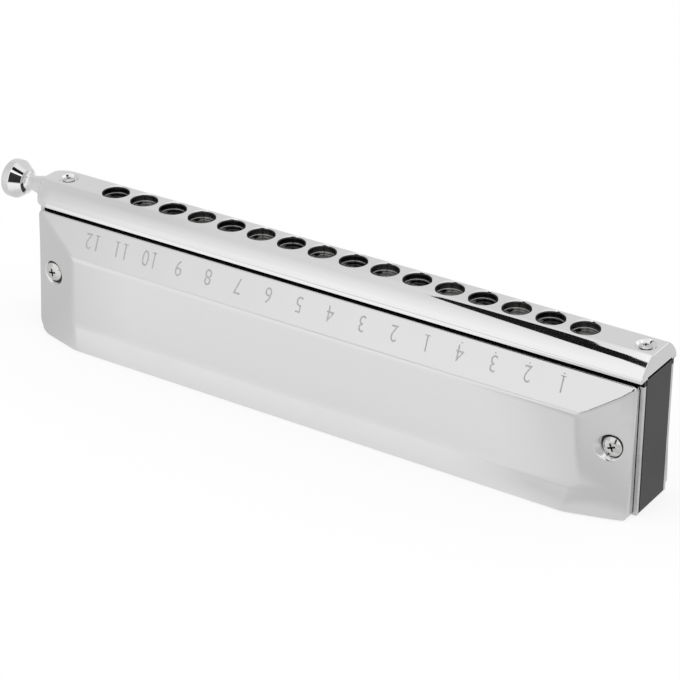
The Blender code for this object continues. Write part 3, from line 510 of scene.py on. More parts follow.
@dataclass(frozen=True)
class MirrorPlate(Finish):
    """Buffed metal under a bright nickel and chromium plate."""

    haze_size: float = 11.0 * MM
    haze_span: tuple[float, float] = (0.35, 0.65)
    ripple_size: float = 9.0 * MM
    ripple_stretch: float = 0.35
    ripple_depth: float = 0.0015 * MM

    def surface(self, skin: Skin) -> None:
        """Draw the buffing haze and the faint ripple that a polishing mop leaves.

        Args:
            skin: What to draw on.
        """
        tree, _, place = skin
        cloud = {"Scale": 1.0 / self.haze_size, "Detail": 3.0, "Roughness": 0.6}
        haze = add_node(tree, "TexNoise", cloud, {"Vector": place})
        longer = {"Scale": (self.ripple_stretch, 1.0, 1.0)}
        stretched = add_node(tree, "Mapping", longer, {"Vector": place})
        wave = {"Scale": 1.0 / self.ripple_size, "Detail": 1.0}
        ripple = add_node(tree, "TexNoise", wave, {"Vector": stretched})
        self.roughen(skin, haze, self.haze_span, ripple, self.ripple_depth)


@dataclass(frozen=True)
class RolledSheet(Finish):
    """Rolled and linished sheet metal, with grain lines along one axis."""

    smoothest: float = 0.2
    haziest: float = 0.36
    grain: tuple[float, float, float] = (0.04, 1.0, 1.0)
    line_width: float = 0.12 * MM
    line_span: tuple[float, float] = (0.3, 0.7)
    line_depth: float = 0.002 * MM
    stain: str = "#8F8A7E"
    stain_size: float = 6.0 * MM
    stain_limits: tuple[float, float, float, float] = (0.5, 0.8, 0.0, 0.6)

    def surface(self, skin: Skin) -> None:
        """Draw the grain lines, their uneven gloss and a light tarnish.

        Args:
            skin: What to draw on.
        """
        tree, _, place = skin
        along = add_node(tree, "Mapping", {"Scale": self.grain}, {"Vector": place})
        strokes = {"Scale": 1.0 / self.line_width, "Detail": 2.0}
        lines = add_node(tree, "TexNoise", strokes, {"Vector": along})
        self.roughen(skin, lines, self.line_span, lines, self.line_depth)
        patches = {"Scale": 1.0 / self.stain_size, "Detail": 4.0}
        cloud = add_node(tree, "TexNoise", patches, {"Vector": place})
        limits = dict(zip(RANGE, self.stain_limits))
        self.tint(skin, self.stain, add_node(tree, "MapRange", limits, {"Value": cloud}))


@dataclass(frozen=True)
class PaintedSeamShadeSheet(RolledSheet):
    """Sheet metal with a black band of painted shade along its mouth edge, in the seam's shadow."""

    # Painted shade: the black that the seam's shadow gives the plate's edge
    seam_shade: str = "#0C0C0C"
    band_low: float = 34.9 * MM
    band_start: float = -89.2 * MM
    band_soft: float = 0.1 * MM

    def surface(self, skin: Skin) -> None:
        """Draw the sheet and then the painted shade over its mouth edge.

        Args:
            skin: What to draw on.
        """
        super().surface(skin)
        axes = add_node(skin.tree, "SeparateXYZ", None, {0: skin.place}).outputs
        edges = {}
        for axis, start in (("Z", self.band_low), ("X", self.band_start)):
            limits = dict(zip(RANGE, (start, start + self.band_soft)))
            edges[len(edges)] = add_node(skin.tree, "MapRange", limits, {"Value": axes[axis]})
        band = add_node(skin.tree, "Math", {"operation": "MULTIPLY"}, edges)
        self.tint(skin, self.seam_shade, band)


@dataclass(frozen=True)
class Moulding(Finish):
    """A moulded polymer with a fine spark-eroded grain."""

    metallic: float = 0.0
    smoothest: float = 0.42
    haziest: float = 0.58
    refraction: float = 1.53
    pale: str = "#4A4A4B"
    grain_size: float = 0.25 * MM
    grain_depth: float = 0.01 * MM
    flow_size: float = 12.0 * MM

    def surface(self, skin: Skin) -> None:
        """Draw the mould's grain and the faint clouds of the flow.

        Args:
            skin: What to draw on.
        """
        skin.shader.inputs["IOR"].default_value = self.refraction
        tree, _, place = skin
        flow, grain = [
            add_node(tree, "TexNoise", {"Scale": 1.0 / size, "Detail": fine}, {"Vector": place})
            for size, fine in ((self.flow_size, 4.0), (self.grain_size, 2.0))
        ]
        self.tint(skin, self.pale, flow)
        self.roughen(skin, grain, (0.0, 1.0), grain, self.grain_depth)


# Bright chromium: a cool mirror that shows the white room, with a breath of buffing haze
BAR_CHROME = MirrorPlate("bright_chromium_plate", "#E4E4E5", smoothest=0.02, haziest=0.06)
# The same plate over a pressed brass sheet: a little hazier, with a slow ripple from the press
COVER_CHROME = MirrorPlate(
    "pressed_chromium_sheet", "#D7D7D8", smoothest=0.09, haziest=0.15, ripple_size=26.0 * MM
)
# Nickel plate on turned screws: a shade darker and harder in its highlights
SCREW_NICKEL = MirrorPlate(
    "nickel_plated_screw", "#CFCFCE", smoothest=0.05, haziest=0.12, haze_size=2.0 * MM
)
# Nickel in the mouth holes and recesses: dull where the mop hardly reaches, dark as painted shade
PAINTED_SHADE_NICKEL = MirrorPlate(
    "painted_shade_dull_nickel", "#464647", smoothest=0.16, haziest=0.3, haze_size=1.5 * MM
)
# Laser-etched plate: the broken surface scatters light, so the figures read matt grey
ETCHED_MARK = MirrorPlate(
    "etched_figure", "#C0C0C1", smoothest=0.5, haziest=0.7, haze_size=0.6 * MM
)
# Stainless strip for the slide and its guides: grey satin with lines along its travel
SLIDE_STEEL = RolledSheet("stainless_slide_strip", "#B4B4B2", stain="#9A9A97")
# Nickel silver plate: pale grey sheet metal, painted black as shade where it shows in the seam
PLATE_METAL = PaintedSeamShadeSheet(
    "nickel_silver_plate", "#CDCDCC", smoothest=0.16, haziest=0.3, stain="#A9A9A8"
)
# Phosphor bronze reeds, filed along their length
REED_METAL = RolledSheet("filed_bronze_reed", "#C8A878", grain=(1.0, 1.0, 0.05), stain="#A5814F")
# Drawn spring wire: bright steel with lines along the wire
WIRE_STEEL = RolledSheet("drawn_spring_wire", "#BDBDBB", grain=(1.0, 1.0, 0.1), line_width=0.08 * MM)
# ABS comb: dark grey plastic with a fine grain and a dull sheen
COMB_ABS = Moulding("moulded_abs", "#252526", pale="#2E2E2F")
# Rubber sleeves: near black and dull
SLEEVE_RUBBER = Moulding(
    "moulded_rubber", "#1C1C1C", pale="#262626", smoothest=0.72, haziest=0.88
)


# Sub-assemblies


def seat(
    piece: Object, carrier: Carrier, finish: Finish, nodes: Sequence[str] = ()
) -> None:
    """Dress a piece, put it on its body and let it stand for its CAD nodes.

    Args:
        piece: The finished piece.
        carrier: The body it rides on.
        finish: Its surface.
        nodes: The CAD nodes it replaces.
    """
    finish.dress(piece)
    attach(piece, carrier.value)
    if nodes:
        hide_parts(*nodes)
    LOG.info("%s: %d faces", piece.name, len(piece.data.polygons))


@dataclass
class Mouthpiece:
    """The arched bar with the mouth holes, and its two screw dimples."""

    side_reach: float = 8.7211 * MM
    low: float = 36.2868 * MM
    shoulder: tuple[float, float] = (4.169 * MM, 2.77 * MM)
    flank: tuple[float, float, float] = (6.45 * MM, 40.519 * MM, 12.0 * MM)
    side: tuple[float, float] = (37.714 * MM, 4.02 * MM)
    nose_length: float = 6.0 * MM
    nose_corner: float = 4.8 * MM
    nose_drop: float = 0.6 * MM
    nose_steps: int = 12
    edge_round: float = 0.35 * MM
    bore: float = 3.5 * MM
    rim: float = 0.3 * MM
    rim_depth: float = 0.49 * MM
    roll: float = 1.4 * MM
    roll_start: float = 0.4 * MM
    seat_left: float = -90.8 * MM
    seat_half: float = 7.73 * MM
    seat_top: float = 37.4 * MM
    channel_left: float = -83.3 * MM
    channel_right: float = 89.0 * MM
    channel_half: float = 5.6 * MM
    channel_low: float = 36.0 * MM
    tail_half: float = 3.6 * MM
    nose_wall: float = 0.8 * MM
    stem_axis: float = 37.5 * MM
    stem_bore: float = 3.2 * MM
    dimple_floor: float = 2.0 * MM
    dimple_mouth: float = 2.83 * MM
    dimple_depth: float = 0.9 * MM
    dimple_rim: float = 0.9 * MM
    dimple_roll: float = 0.07 * MM
    flare_clear: float = 0.04 * MM
    flare_angle: float = math.radians(10.0)
    screw_hole: float = 1.1 * MM
    steps: int = 64
    arc_step: float = math.radians(3.0)
    sharp: float = 28.0

    def build(self) -> None:
        """Build the bar, cut it and seat it."""
        piece = new_piece("mouthpiece_bar", self.bar())
        carve(piece, self.hollow())
        carve(piece, self.openings())
        shade(piece, self.sharp)
        seat(piece, Carrier.INSTRUMENT, BAR_CHROME, ["mouthpiece"])
        self.paint_bore_shade(piece)

    def paint_bore_shade(self, piece: Object) -> None:
        """Give the walls of the mouth holes a dull plate, darkened as painted shade in the holes.

        Args:
            piece: The dressed bar.
        """
        piece.data.materials.append(PAINTED_SHADE_NICKEL.material())
        soft = self.rim / 2
        for face in piece.data.polygons:
            x, y, z = face.center
            off = min(math.hypot(x - hole, y) for hole in HOLE_XS)
            if off < self.bore + soft and z < MOUTH_TOP - self.rim_depth + soft:
                face.material_index = 1

    def section(self) -> BMesh:
        """Draw the bar's cross section as one face at X zero.

        Returns:
            The face's mesh.
        """
        half = [
            Corner(0.0, MOUTH_TOP),
            Corner(self.shoulder[0], MOUTH_TOP, self.shoulder[1]),
            Corner(*self.flank),
            Corner(self.side_reach, *self.side),
            Corner(self.side_reach, self.low),
        ]
        mesh = Outline(half, SECTION, self.arc_step).mesh
        bmesh.ops.mirror(mesh, geom=[*mesh.verts, *mesh.edges], axis="Y", merge_dist=0.001 * MM)
        bmesh.ops.remove_doubles(mesh, verts=mesh.verts, dist=0.02 * MM)
        mesh.edges.new(sorted(mesh.verts, key=lambda vert: vert.co.z)[:2])
        bmesh.ops.edgeloop_fill(mesh, edges=mesh.edges)
        return mesh

    def bar(self) -> BMesh:
        """Pull the cross section along the bar and narrow it into the nose.

        Returns:
            The solid bar.
        """
        mesh = self.section()
        bmesh.ops.translate(mesh, verts=mesh.verts, vec=(HALF_LENGTH, 0.0, 0.0))
        cap = mesh.faces[:]
        foot = Matrix.Translation((0.0, 0.0, -self.low))
        place, width, height = HALF_LENGTH, 1.0, 1.0
        for step in range(self.nose_steps + 1):
            angle = math.pi / 2 * (1 - step / self.nose_steps)
            inset = 1 - math.sin(angle)
            new_place = NOSE_X + self.nose_length * (1 - math.cos(angle))
            new_width = 1 - inset * self.nose_corner / self.side_reach
            new_height = 1 - inset * self.nose_drop / (MOUTH_TOP - self.low)
            grown = bmesh.ops.extrude_face_region(mesh, geom=cap)["geom"]
            if step:
                bmesh.ops.delete(mesh, geom=cap, context="FACES_ONLY")
            verts = [item for item in grown if isinstance(item, BMVert)]
            cap = [item for item in grown if isinstance(item, BMFace)]
            bmesh.ops.translate(mesh, verts=verts, vec=(new_place - place, 0.0, 0.0))
            shrink = (1.0, new_width / width, new_height / height)
            bmesh.ops.scale(mesh, verts=verts, vec=shrink, space=foot)
            place, width, height = new_place, new_width, new_height
        bmesh.ops.recalc_face_normals(mesh, faces=mesh.faces)
        end = max(mesh.faces, key=lambda face: face.calc_center_median().x)
        bmesh.ops.bevel(
            mesh,
            geom=end.edges[:],
            offset=self.edge_round,
            segments=4,
            profile=0.5,
            affect="EDGES",
            material=-1,
        )
        return mesh

    def hollow(self) -> BMesh:
        """Make the tool for the comb's seat, the slide's channel and the stem's bore.

        Returns:
            The tool.
        """
        inner = NOSE_X + self.nose_wall
        seat_low = (self.seat_left, -self.seat_half, 0.0)
        seat_high = (HALF_LENGTH + OVERRUN, self.seat_half, self.seat_top)
        channel_low = (self.channel_left, -self.channel_half, self.channel_low)
        channel_high = (self.channel_right, self.channel_half, MOUTH_ROOF_LOW)
        tail_low = (inner, -self.tail_half, 0.0)
        tail_high = (self.channel_left + OVERRUN, self.tail_half, MOUTH_ROOF_LOW)
        stem = [(x, 0.0, self.stem_axis) for x in (NOSE_X - OVERRUN, inner + OVERRUN)]
        return joined(
            box(seat_low, seat_high),
            box(channel_low, channel_high),
            box(tail_low, tail_high),
            add_rod(bmesh.new(), *stem, self.stem_bore, self.steps),
        )

    def openings(self) -> BMesh:
        """Make the tool for the mouth holes, the screw dimples and the screw holes.

        Each opens out over its rim and leaves the top at a slight angle.

        Returns:
            The tool.
        """
        low = MOUTH_ROOF_LOW - OVERRUN / 2
        floor = MOUTH_TOP - self.dimple_depth
        bore = [
            Corner(0.0, low),
            Corner(self.bore, low),
            Corner(self.bore, MOUTH_TOP - self.rim_depth, self.rim),
            *self.flare(self.bore + self.roll_start, self.rim_depth - self.roll_start, self.roll),
        ]
        dimple = [
            Corner(0.0, low),
            Corner(self.screw_hole, low),
            Corner(self.screw_hole, floor),
            Corner(self.dimple_floor, floor, self.dimple_depth / 3),
            *self.flare(self.dimple_mouth, self.dimple_roll, self.dimple_rim),
        ]
        tool = bmesh.new()
        add_turned(tool, bore, HOLE_XS, self.steps)
        add_turned(tool, dimple, (-SCREW_X, SCREW_X), self.steps)
        return tool

    def flare(self, radius: float, depth: float, rounding: float) -> list[Corner]:
        """Give the corners that open a hole out over its rim.

        Args:
            radius: The hole's radius where the rim starts.
            depth: How far under the top that is.
            rounding: The rim's radius.

        Returns:
            The corners.
        """
        run = (depth + self.flare_clear) / math.tan(self.flare_angle)
        high = MOUTH_TOP + self.flare_clear
        first = Corner(radius, MOUTH_TOP - depth, rounding)
        return [first, Corner(radius + run, high), Corner(0.0, high)]


@dataclass
class SlideGuide:
    """The thin channel over the slide, seen as a ring inside each mouth hole."""

    left: float = -83.0 * MM
    right: float = 88.7 * MM
    half_width: float = 5.3 * MM
    low: float = 39.4 * MM
    roof_low: float = 39.9 * MM
    top: float = 40.3 * MM
    slide_half: float = 4.6 * MM
    hole: float = 3.2 * MM
    hole_round: float = 0.15 * MM
    rim_depth: float = 0.05 * MM
    rim_flare: float = 0.3 * MM
    rim_clear: float = 0.04 * MM
    screw_hole: float = 1.1 * MM
    steps: int = 48

    def build(self) -> None:
        """Build the guide, cut it and seat it."""
        low = (self.left, -self.half_width, self.low)
        piece = new_piece("slide_guide_strip", box(low, (self.right, self.half_width, self.top)))
        low = (self.left - OVERRUN, -self.slide_half, self.low - OVERRUN)
        carve(piece, box(low, (self.right + OVERRUN, self.slide_half, self.roof_low)))
        under = self.roof_low - OVERRUN
        over = self.top + self.rim_clear
        profile = [
            Corner(0.0, under),
            Corner(self.hole, under),
            Corner(self.hole, self.top - self.rim_depth, self.hole_round),
            Corner(self.hole + self.rim_flare, over),
            Corner(0.0, over),
        ]
        tool = bmesh.new()
        add_turned(tool, profile, HOLE_XS, self.steps)
        screw = [(SCREW_X, 0.0, z) for z in (under, self.top + OVERRUN)]
        carve(piece, add_rod(tool, *screw, self.screw_hole, self.steps))
        shade(piece)
        seat(piece, Carrier.INSTRUMENT, SLIDE_STEEL, ["slide_guide"])


@dataclass
class Button:
    """The turned knob and stem that push the slide."""

    axis: float = 37.5 * MM
    knob: float = 5.27 * MM
    crown: float = 13.7 * MM
    crown_edge: tuple[float, float, float] = (2.9 * MM, 13.48 * MM, 9.0 * MM)
    rim: tuple[float, float] = (13.07 * MM, 1.05 * MM)
    back: tuple[float, float] = (10.4 * MM, 0.4 * MM)
    ring: tuple[float, float, float] = (3.35 * MM, 7.45 * MM, 0.3 * MM)
    neck: tuple[float, float, float] = (2.0 * MM, 7.2 * MM, 1.2 * MM)
    throat: tuple[float, float, float] = (2.05 * MM, 5.2 * MM, 2.0 * MM)
    stem: float = 3.05 * MM
    taper: tuple[float, float] = (0.9 * MM, 1.5 * MM)
    inside: float = -5.3 * MM
    inside_round: float = 0.15 * MM
    flat: float = 38.9 * MM
    flat_from: float = -92.9 * MM
    fork_half: float = 1.1 * MM
    fork_from: float = -92.3 * MM
    rivet_x: float = -90.15 * MM
    rivet_y: float = 2.25 * MM
    pin_x: float = -94.05 * MM
    pin_depth: float = 1.0 * MM
    pin_angle: float = math.radians(50.0)
    hole: float = 0.45 * MM
    hole_steps: tuple[int, int] = (24, 32)
    steps: int = 96

    def build(self) -> None:
        """Build the button, cut it and seat it."""
        turn = Matrix.Translation((NOSE_X, 0.0, self.axis)) @ Matrix.Rotation(-math.pi / 2, 4, "Y")
        mesh = bmesh.new()
        gather(mesh, self.profile().turned(self.steps), turn)
        piece = new_piece("button_knob", mesh)
        carve(piece, self.fork())
        shade(piece)
        seat(piece, Carrier.SLIDE, BAR_CHROME, ["button"])

    def profile(self) -> Outline:
        """Draw the turned outline, radius against distance outwards from the nose.

        Returns:
            The outline.
        """
        corners = [
            Corner(0.0, self.crown),
            Corner(*self.crown_edge),
            Corner(self.knob, *self.rim),
            Corner(self.knob, *self.back),
            Corner(*self.ring),
            Corner(*self.neck),
            Corner(*self.throat),
            Corner(self.stem, *self.taper),
            Corner(self.stem, self.inside, self.inside_round),
            Corner(0.0, self.inside),
        ]
        return Outline(corners, RADIAL)

    def fork(self) -> BMesh:
        """Make the tool for the stem's flat, fork, rivet holes and pin hole.

        Returns:
            The tool.
        """
        end = NOSE_X - self.inside + OVERRUN
        flat = box((self.flat_from, -self.knob, self.flat), (end, self.knob, MOUTH_TOP + OVERRUN))
        slot = box((self.fork_from, -self.fork_half, 0.0), (end, self.fork_half, MOUTH_TOP))
        pins = bmesh.new()
        for side in Side:
            y = side.value * self.rivet_y
            rivet = [(self.rivet_x, y, z) for z in (self.axis - self.knob, MOUTH_TOP)]
            add_rod(pins, *rivet, self.hole, self.hole_steps[0])
        radial = Vector((0.0, -math.sin(self.pin_angle), math.cos(self.pin_angle)))
        centre = Vector((self.pin_x, 0.0, self.axis))
        pin = [centre + radial * (self.stem + off) for off in (-self.pin_depth, OVERRUN)]
        return joined(flat, slot, add_rod(pins, *pin, self.hole, self.hole_steps[1]))


@dataclass
class CoverShell:
    """A pressed cover: plateau, sloped ends and front, dished bolt seats, open rear."""

    side: Side
    end: float = 90.2 * MM
    rear_edge: float = 0.2 * MM
    front_edge: float = 35.2 * MM
    sheet: float = 0.6 * MM
    base: float = 0.3 * MM
    slope_start: float = 76.5 * MM
    slope_end: float = 89.9 * MM
    flare_edge: float = 7.0 * MM
    plateau_front: float = 26.0 * MM
    lip: float = 34.9 * MM
    plateau_heights: tuple[float, float, float] = (8.1 * MM, 6.0 * MM, 5.3 * MM)
    wall_heights: tuple[float, float, float] = (3.6 * MM, 2.9 * MM, 1.8 * MM)
    lip_height: float = 1.5 * MM
    flare_rear: float = -0.6 * MM
    narrowing: float = 2.0 * MM
    edge_round: float = 0.5 * MM
    edge_steps: int = 6
    front_corner: float = 1.5 * MM
    rear_corner: float = 4.2 * MM
    rear_corner_right: float = 1.0 * MM
    end_crease: float = 0.34 * MM
    front_crease: float = 0.5 * MM
    flare_crease: float = 0.25 * MM
    dish_floor: float = 2.62 * MM
    dish_inner: float = 2.75 * MM
    dish_outer: float = 5.0 * MM
    dish_slope: float = 1.6
    dish_crease: float = 0.45 * MM
    trim_from: float = 86.0 * MM
    trim_to: float = 89.4 * MM
    bolt_hole: float = 1.8 * MM
    bolt_steps: int = 40
    sharp: float = math.radians(50.0)
    column_spans: Pairs = (
        (0.0, 6.0), (72.0, 4.0), (73.5, 0.5), (79.0, 0.25), (80.4, 0.5), (88.8, 0.2),
    )
    row_spans: Pairs = (
        (0.2, 0.6), (5.2, 0.6), (8.8, 0.3), (14.6, 0.7), (23.2, 0.2), (27.6, 0.25), (34.0, 0.3),
    )
    closest: float = 0.05 * MM

    def build(self) -> None:
        """Press the sheet, give it its thickness and seat it."""
        tag = self.side.name.lower()
        piece = new_piece("cover_shell_" + tag, self.pressing())
        wall = piece.modifiers.new("sheet", "SOLIDIFY")
        wall.thickness = self.sheet
        wall.offset = -1.0
        wall.use_even_offset = True
        settle(piece)
        holes = bmesh.new()
        depths = [self.side.value * (PLATE_FACE + high) for high in (0.0, self.plateau_heights[0])]
        for end in End:
            bolt = [(end.value * BOLT_X, depth, BOLT_Z) for depth in depths]
            add_rod(holes, *bolt, self.bolt_hole, self.bolt_steps)
        carve(piece, holes)
        piece.data.shade_smooth()
        piece.data.set_sharp_from_angle(angle=self.sharp)
        seat(piece, Carrier.INSTRUMENT, COVER_CHROME, ["cover_" + tag])

    def pressing(self) -> BMesh:
        """Shape a graded grid into the pressed outer surface.

        Returns:
            The surface, without thickness.
        """
        columns = self.graded(self.column_spans, self.end)
        rows = self.graded(self.row_spans, self.front_edge)
        columns = [-column for column in reversed(columns[1:])] + columns
        share = (self.trim_to - self.trim_from) / (self.end - self.trim_from)
        mesh = bmesh.new()
        across, along = len(columns) - 1, len(rows) - 1
        bmesh.ops.create_grid(mesh, x_segments=across, y_segments=along, size=1.0)
        for vert in mesh.verts:
            column = columns[round((vert.co.x + 1) / 2 * across)]
            row = rows[round((vert.co.y + 1) / 2 * along)]
            end = End.RIGHT if column > 0 else End.LEFT
            depth = min(self.end - abs(column), self.front_edge - row)
            x, z = self.rounded_corner(abs(column), row, end)
            height = self.height(x, z) - self.edge_fall(depth)
            if end is End.RIGHT and x > self.trim_from:
                x = self.trim_from + (x - self.trim_from) * share
            vert.co = (end.value * x, self.side.value * (PLATE_FACE + height), z)
        bmesh.ops.remove_doubles(mesh, verts=mesh.verts, dist=0.002 * MM)
        self.add_wall(mesh)
        bmesh.ops.recalc_face_normals(mesh, faces=mesh.faces)
        outward = sum(face.normal.y * face.calc_area() for face in mesh.faces)
        if outward * self.side.value < 0:
            bmesh.ops.reverse_faces(mesh, faces=mesh.faces)
        return mesh

    def add_wall(self, mesh: BMesh) -> None:
        """Draw the ends and the front down to the reed plate as a short wall.

        Args:
            mesh: The pressed surface.
        """
        rear = self.rear_edge + 0.01 * MM
        edges = [
            edge
            for edge in mesh.edges
            if edge.is_boundary and not all(vert.co.z < rear for vert in edge.verts)
        ]
        for item in bmesh.ops.extrude_edge_only(mesh, edges=edges)["geom"]:
            if isinstance(item, BMVert):
                item.co.y = self.side.value * (PLATE_FACE + self.base)

    def graded(self, spans: Pairs, edge: float) -> list[float]:
        """Give grid places that are close where the surface bends.

        Args:
            spans: The first place, then (place reached, spacing) in millimetres.
            edge: The outline's edge, which the last places round down to.

        Returns:
            The places in metres.
        """
        places = [spans[0][0] * MM]
        for reached, spacing in spans[1:]:
            start = places[-1]
            span = reached * MM - start
            count = max(1, round(span / (spacing * MM)))
            places += [start + span * step / count for step in range(1, count + 1)]
        first = edge - self.edge_round
        if first - places[-1] > self.closest:
            places.append(first)
        for step in range(1, self.edge_steps + 1):
            angle = math.pi / 2 * step / self.edge_steps
            places.append(first + self.edge_round * math.sin(angle))
        return places

    def edge_fall(self, depth: float) -> float:
        """Give how far the rounded edge has dropped at a distance inside the outline."""
        across = max(0.0, 1 - depth / self.edge_round)
        return self.edge_round * (1 - math.sqrt(max(0.0, 1 - across * across)))

    def rounded_corner(self, x: float, z: float, end: End) -> tuple[float, float]:
        """Move a grid place so that the outline's corners come out round.

        Args:
            x: The place along the cover, from its middle.
            z: The place across it.
            end: The end it lies towards.

        Returns:
            The moved place.
        """
        if z > (self.front_edge + self.rear_edge) / 2:
            radius, rim, way = self.front_corner, self.front_edge, 1.0
        else:
            radius = self.rear_corner if end is End.LEFT else self.rear_corner_right
            rim, way = self.rear_edge, -1.0
        u = (x - (self.end - radius)) / radius
        v = way * (z - (rim - way * radius)) / radius
        if u <= 0 or v <= 0:
            return x, z
        pull = max(u, v) / math.hypot(u, v)
        return self.end - radius + u * pull * radius, rim - way * radius + way * v * pull * radius

    def height(self, x: float, z: float) -> float:
        """Give the pressed surface's height over the reed plate, dishes included.

        Args:
            x: The place along the cover, from its middle.
            z: The place across it.

        Returns:
            The height.
        """
        flare_share = (z - self.flare_rear) / (self.flare_edge - self.flare_rear)
        front_share = (z - self.flare_edge) / (self.plateau_front - self.flare_edge)
        levels = []
        for rear, knee, front in (self.wall_heights, self.plateau_heights):
            flared = rear + (knee - rear) * flare_share
            level = knee + (front - knee) * front_share
            levels.append(-self.soft_min(-flared, -level, self.flare_crease))
        wall, plateau = levels
        start = self.slope_start - self.narrowing * max(0.0, 1 - flare_share)
        if z > self.plateau_front:
            end_height = self.front_hip(x, z)
        else:
            end_height = plateau + (wall - plateau) * (x - start) / (self.slope_end - start)
        slope = (self.lip_height - front) / (self.lip - self.plateau_front)
        bevel = front + slope * (z - self.plateau_front)
        surface = self.soft_min(plateau, bevel, self.front_crease)
        surface = self.soft_min(surface, end_height, self.end_crease)
        reach = math.hypot(x - BOLT_X, z - BOLT_Z)
        if reach >= self.dish_outer:
            return surface
        dish = self.dish_floor + max(0.0, reach - self.dish_inner) * self.dish_slope
        return self.soft_min(surface, dish, self.dish_crease)

    def front_hip(self, x: float, z: float) -> float:
        """Give the end slope's height where it runs on past the plateau's front edge.

        Args:
            x: The place along the cover, from its middle.
            z: The place across it.

        Returns:
            The height.
        """
        front, wall = self.plateau_heights[2], self.wall_heights[2]
        across = (wall - front) / (self.slope_end - self.slope_start)
        along = (self.lip_height - wall) / (self.lip - self.plateau_front)
        return front + across * (x - self.slope_start) + along * (z - self.plateau_front)

    @staticmethod
    def soft_min(first: float, second: float, reach: float) -> float:
        """Give the lower of two heights, blended where they are closer than reach."""
        near = max(0.0, 1 - abs(first - second) / reach)
        return min(first, second) - near * near * reach / 4


@dataclass
class HoleNumbers:
    """The figures etched on the front cover from the button on, turned to the player."""

    shell: CoverShell
    labels: tuple[str, ...] = tuple("12 11 10 9 8 7 6 5 4 3 2 1 4 3 2 1".split())
    dotted_from: int = 12
    height: float = 4.5 * MM
    narrow: float = 0.78
    pitch: float = 2.7 * MM
    serif: float = 0.75 * MM
    stroke: float = 0.24 * MM
    middle: float = 31.15 * MM
    rise: float = 0.012 * MM
    depth: float = 0.01 * MM
    dot: float = 0.2 * MM
    dot_drop: float = 0.55 * MM
    dot_steps: int = 16
    cap_share: float = 0.729
    thinning: float = 0.05 * MM

    def build(self) -> None:
        """Lay the figures on the cover's front slope and seat them."""
        shell, side = self.shell, self.shell.side.value
        low = Vector((0.0, side * shell.plateau_heights[2], shell.plateau_front))
        high = Vector((0.0, side * shell.lip_height, shell.lip))
        up = (low - high).normalized()
        right = Vector((-1.0, 0.0, 0.0))
        out = right.cross(up)
        turn = Matrix((right, up, out)).transposed().to_4x4()
        share = (self.middle - shell.plateau_front) / (shell.lip - shell.plateau_front)
        centre = low.lerp(high, share) + Vector((0.0, side * PLATE_FACE, 0.0))
        mesh = bmesh.new()
        for index, (label, x) in enumerate(zip(self.labels, HOLE_XS)):
            place = Matrix.Translation(centre + out * self.rise + Vector((x, 0.0, 0.0)))
            gather(mesh, self.figure(label, index >= self.dotted_from), place @ turn)
        piece = new_piece("hole_numbers", mesh)
        seat(piece, Carrier.INSTRUMENT, ETCHED_MARK)

    def figure(self, label: str, dotted: bool) -> BMesh:
        """Make one figure as thin flat geometry about its own middle.

        Args:
            label: The figure's digits.
            dotted: Whether a low-octave dot stands under it.

        Returns:
            Its mesh.
        """
        mesh = bmesh.new()
        for index, digit in enumerate(label):
            across = (index - (len(label) - 1) / 2) * self.pitch
            gather(mesh, self.digit(digit), Matrix.Translation((across, 0.0, 0.0)))
        if dotted:
            low = -self.height / 2 - self.dot_drop
            dot = [(0.0, low, z) for z in (-self.depth, self.depth)]
            add_rod(mesh, *dot, self.dot, self.dot_steps)
        return mesh

    def digit(self, digit: str) -> BMesh:
        """Make one digit about its own middle, with a foot under a one.

        Args:
            digit: The digit.

        Returns:
            Its mesh.
        """
        curve = bpy.data.curves.new("figure", "FONT")
        curve.body = digit
        curve.size = self.height / self.cap_share
        curve.align_x = "CENTER"
        curve.extrude = self.depth
        curve.offset = -self.thinning
        curve.resolution_u = 3
        text = bpy.data.objects.new("figure", curve)
        bpy.context.scene.collection.objects.link(text)
        graph = bpy.context.evaluated_depsgraph_get()
        data = bpy.data.meshes.new_from_object(text.evaluated_get(graph), depsgraph=graph)
        mesh = bmesh.new()
        mesh.from_mesh(data)
        bpy.data.meshes.remove(data)
        bpy.data.objects.remove(text)
        bpy.data.curves.remove(curve)
        foot = -self.height / 2
        bmesh.ops.scale(mesh, verts=mesh.verts, vec=(self.narrow, 1.0, 1.0))
        bmesh.ops.translate(mesh, verts=mesh.verts, vec=(0.0, foot, 0.0))
        if digit == "1":
            middle = max(vert.co.x for vert in mesh.verts) - self.stroke / 2
            low = (middle - self.serif, foot, -self.depth)
            high = (middle + self.serif, foot + self.stroke, self.depth)
            gather(mesh, box(low, high), Matrix())
        return mesh


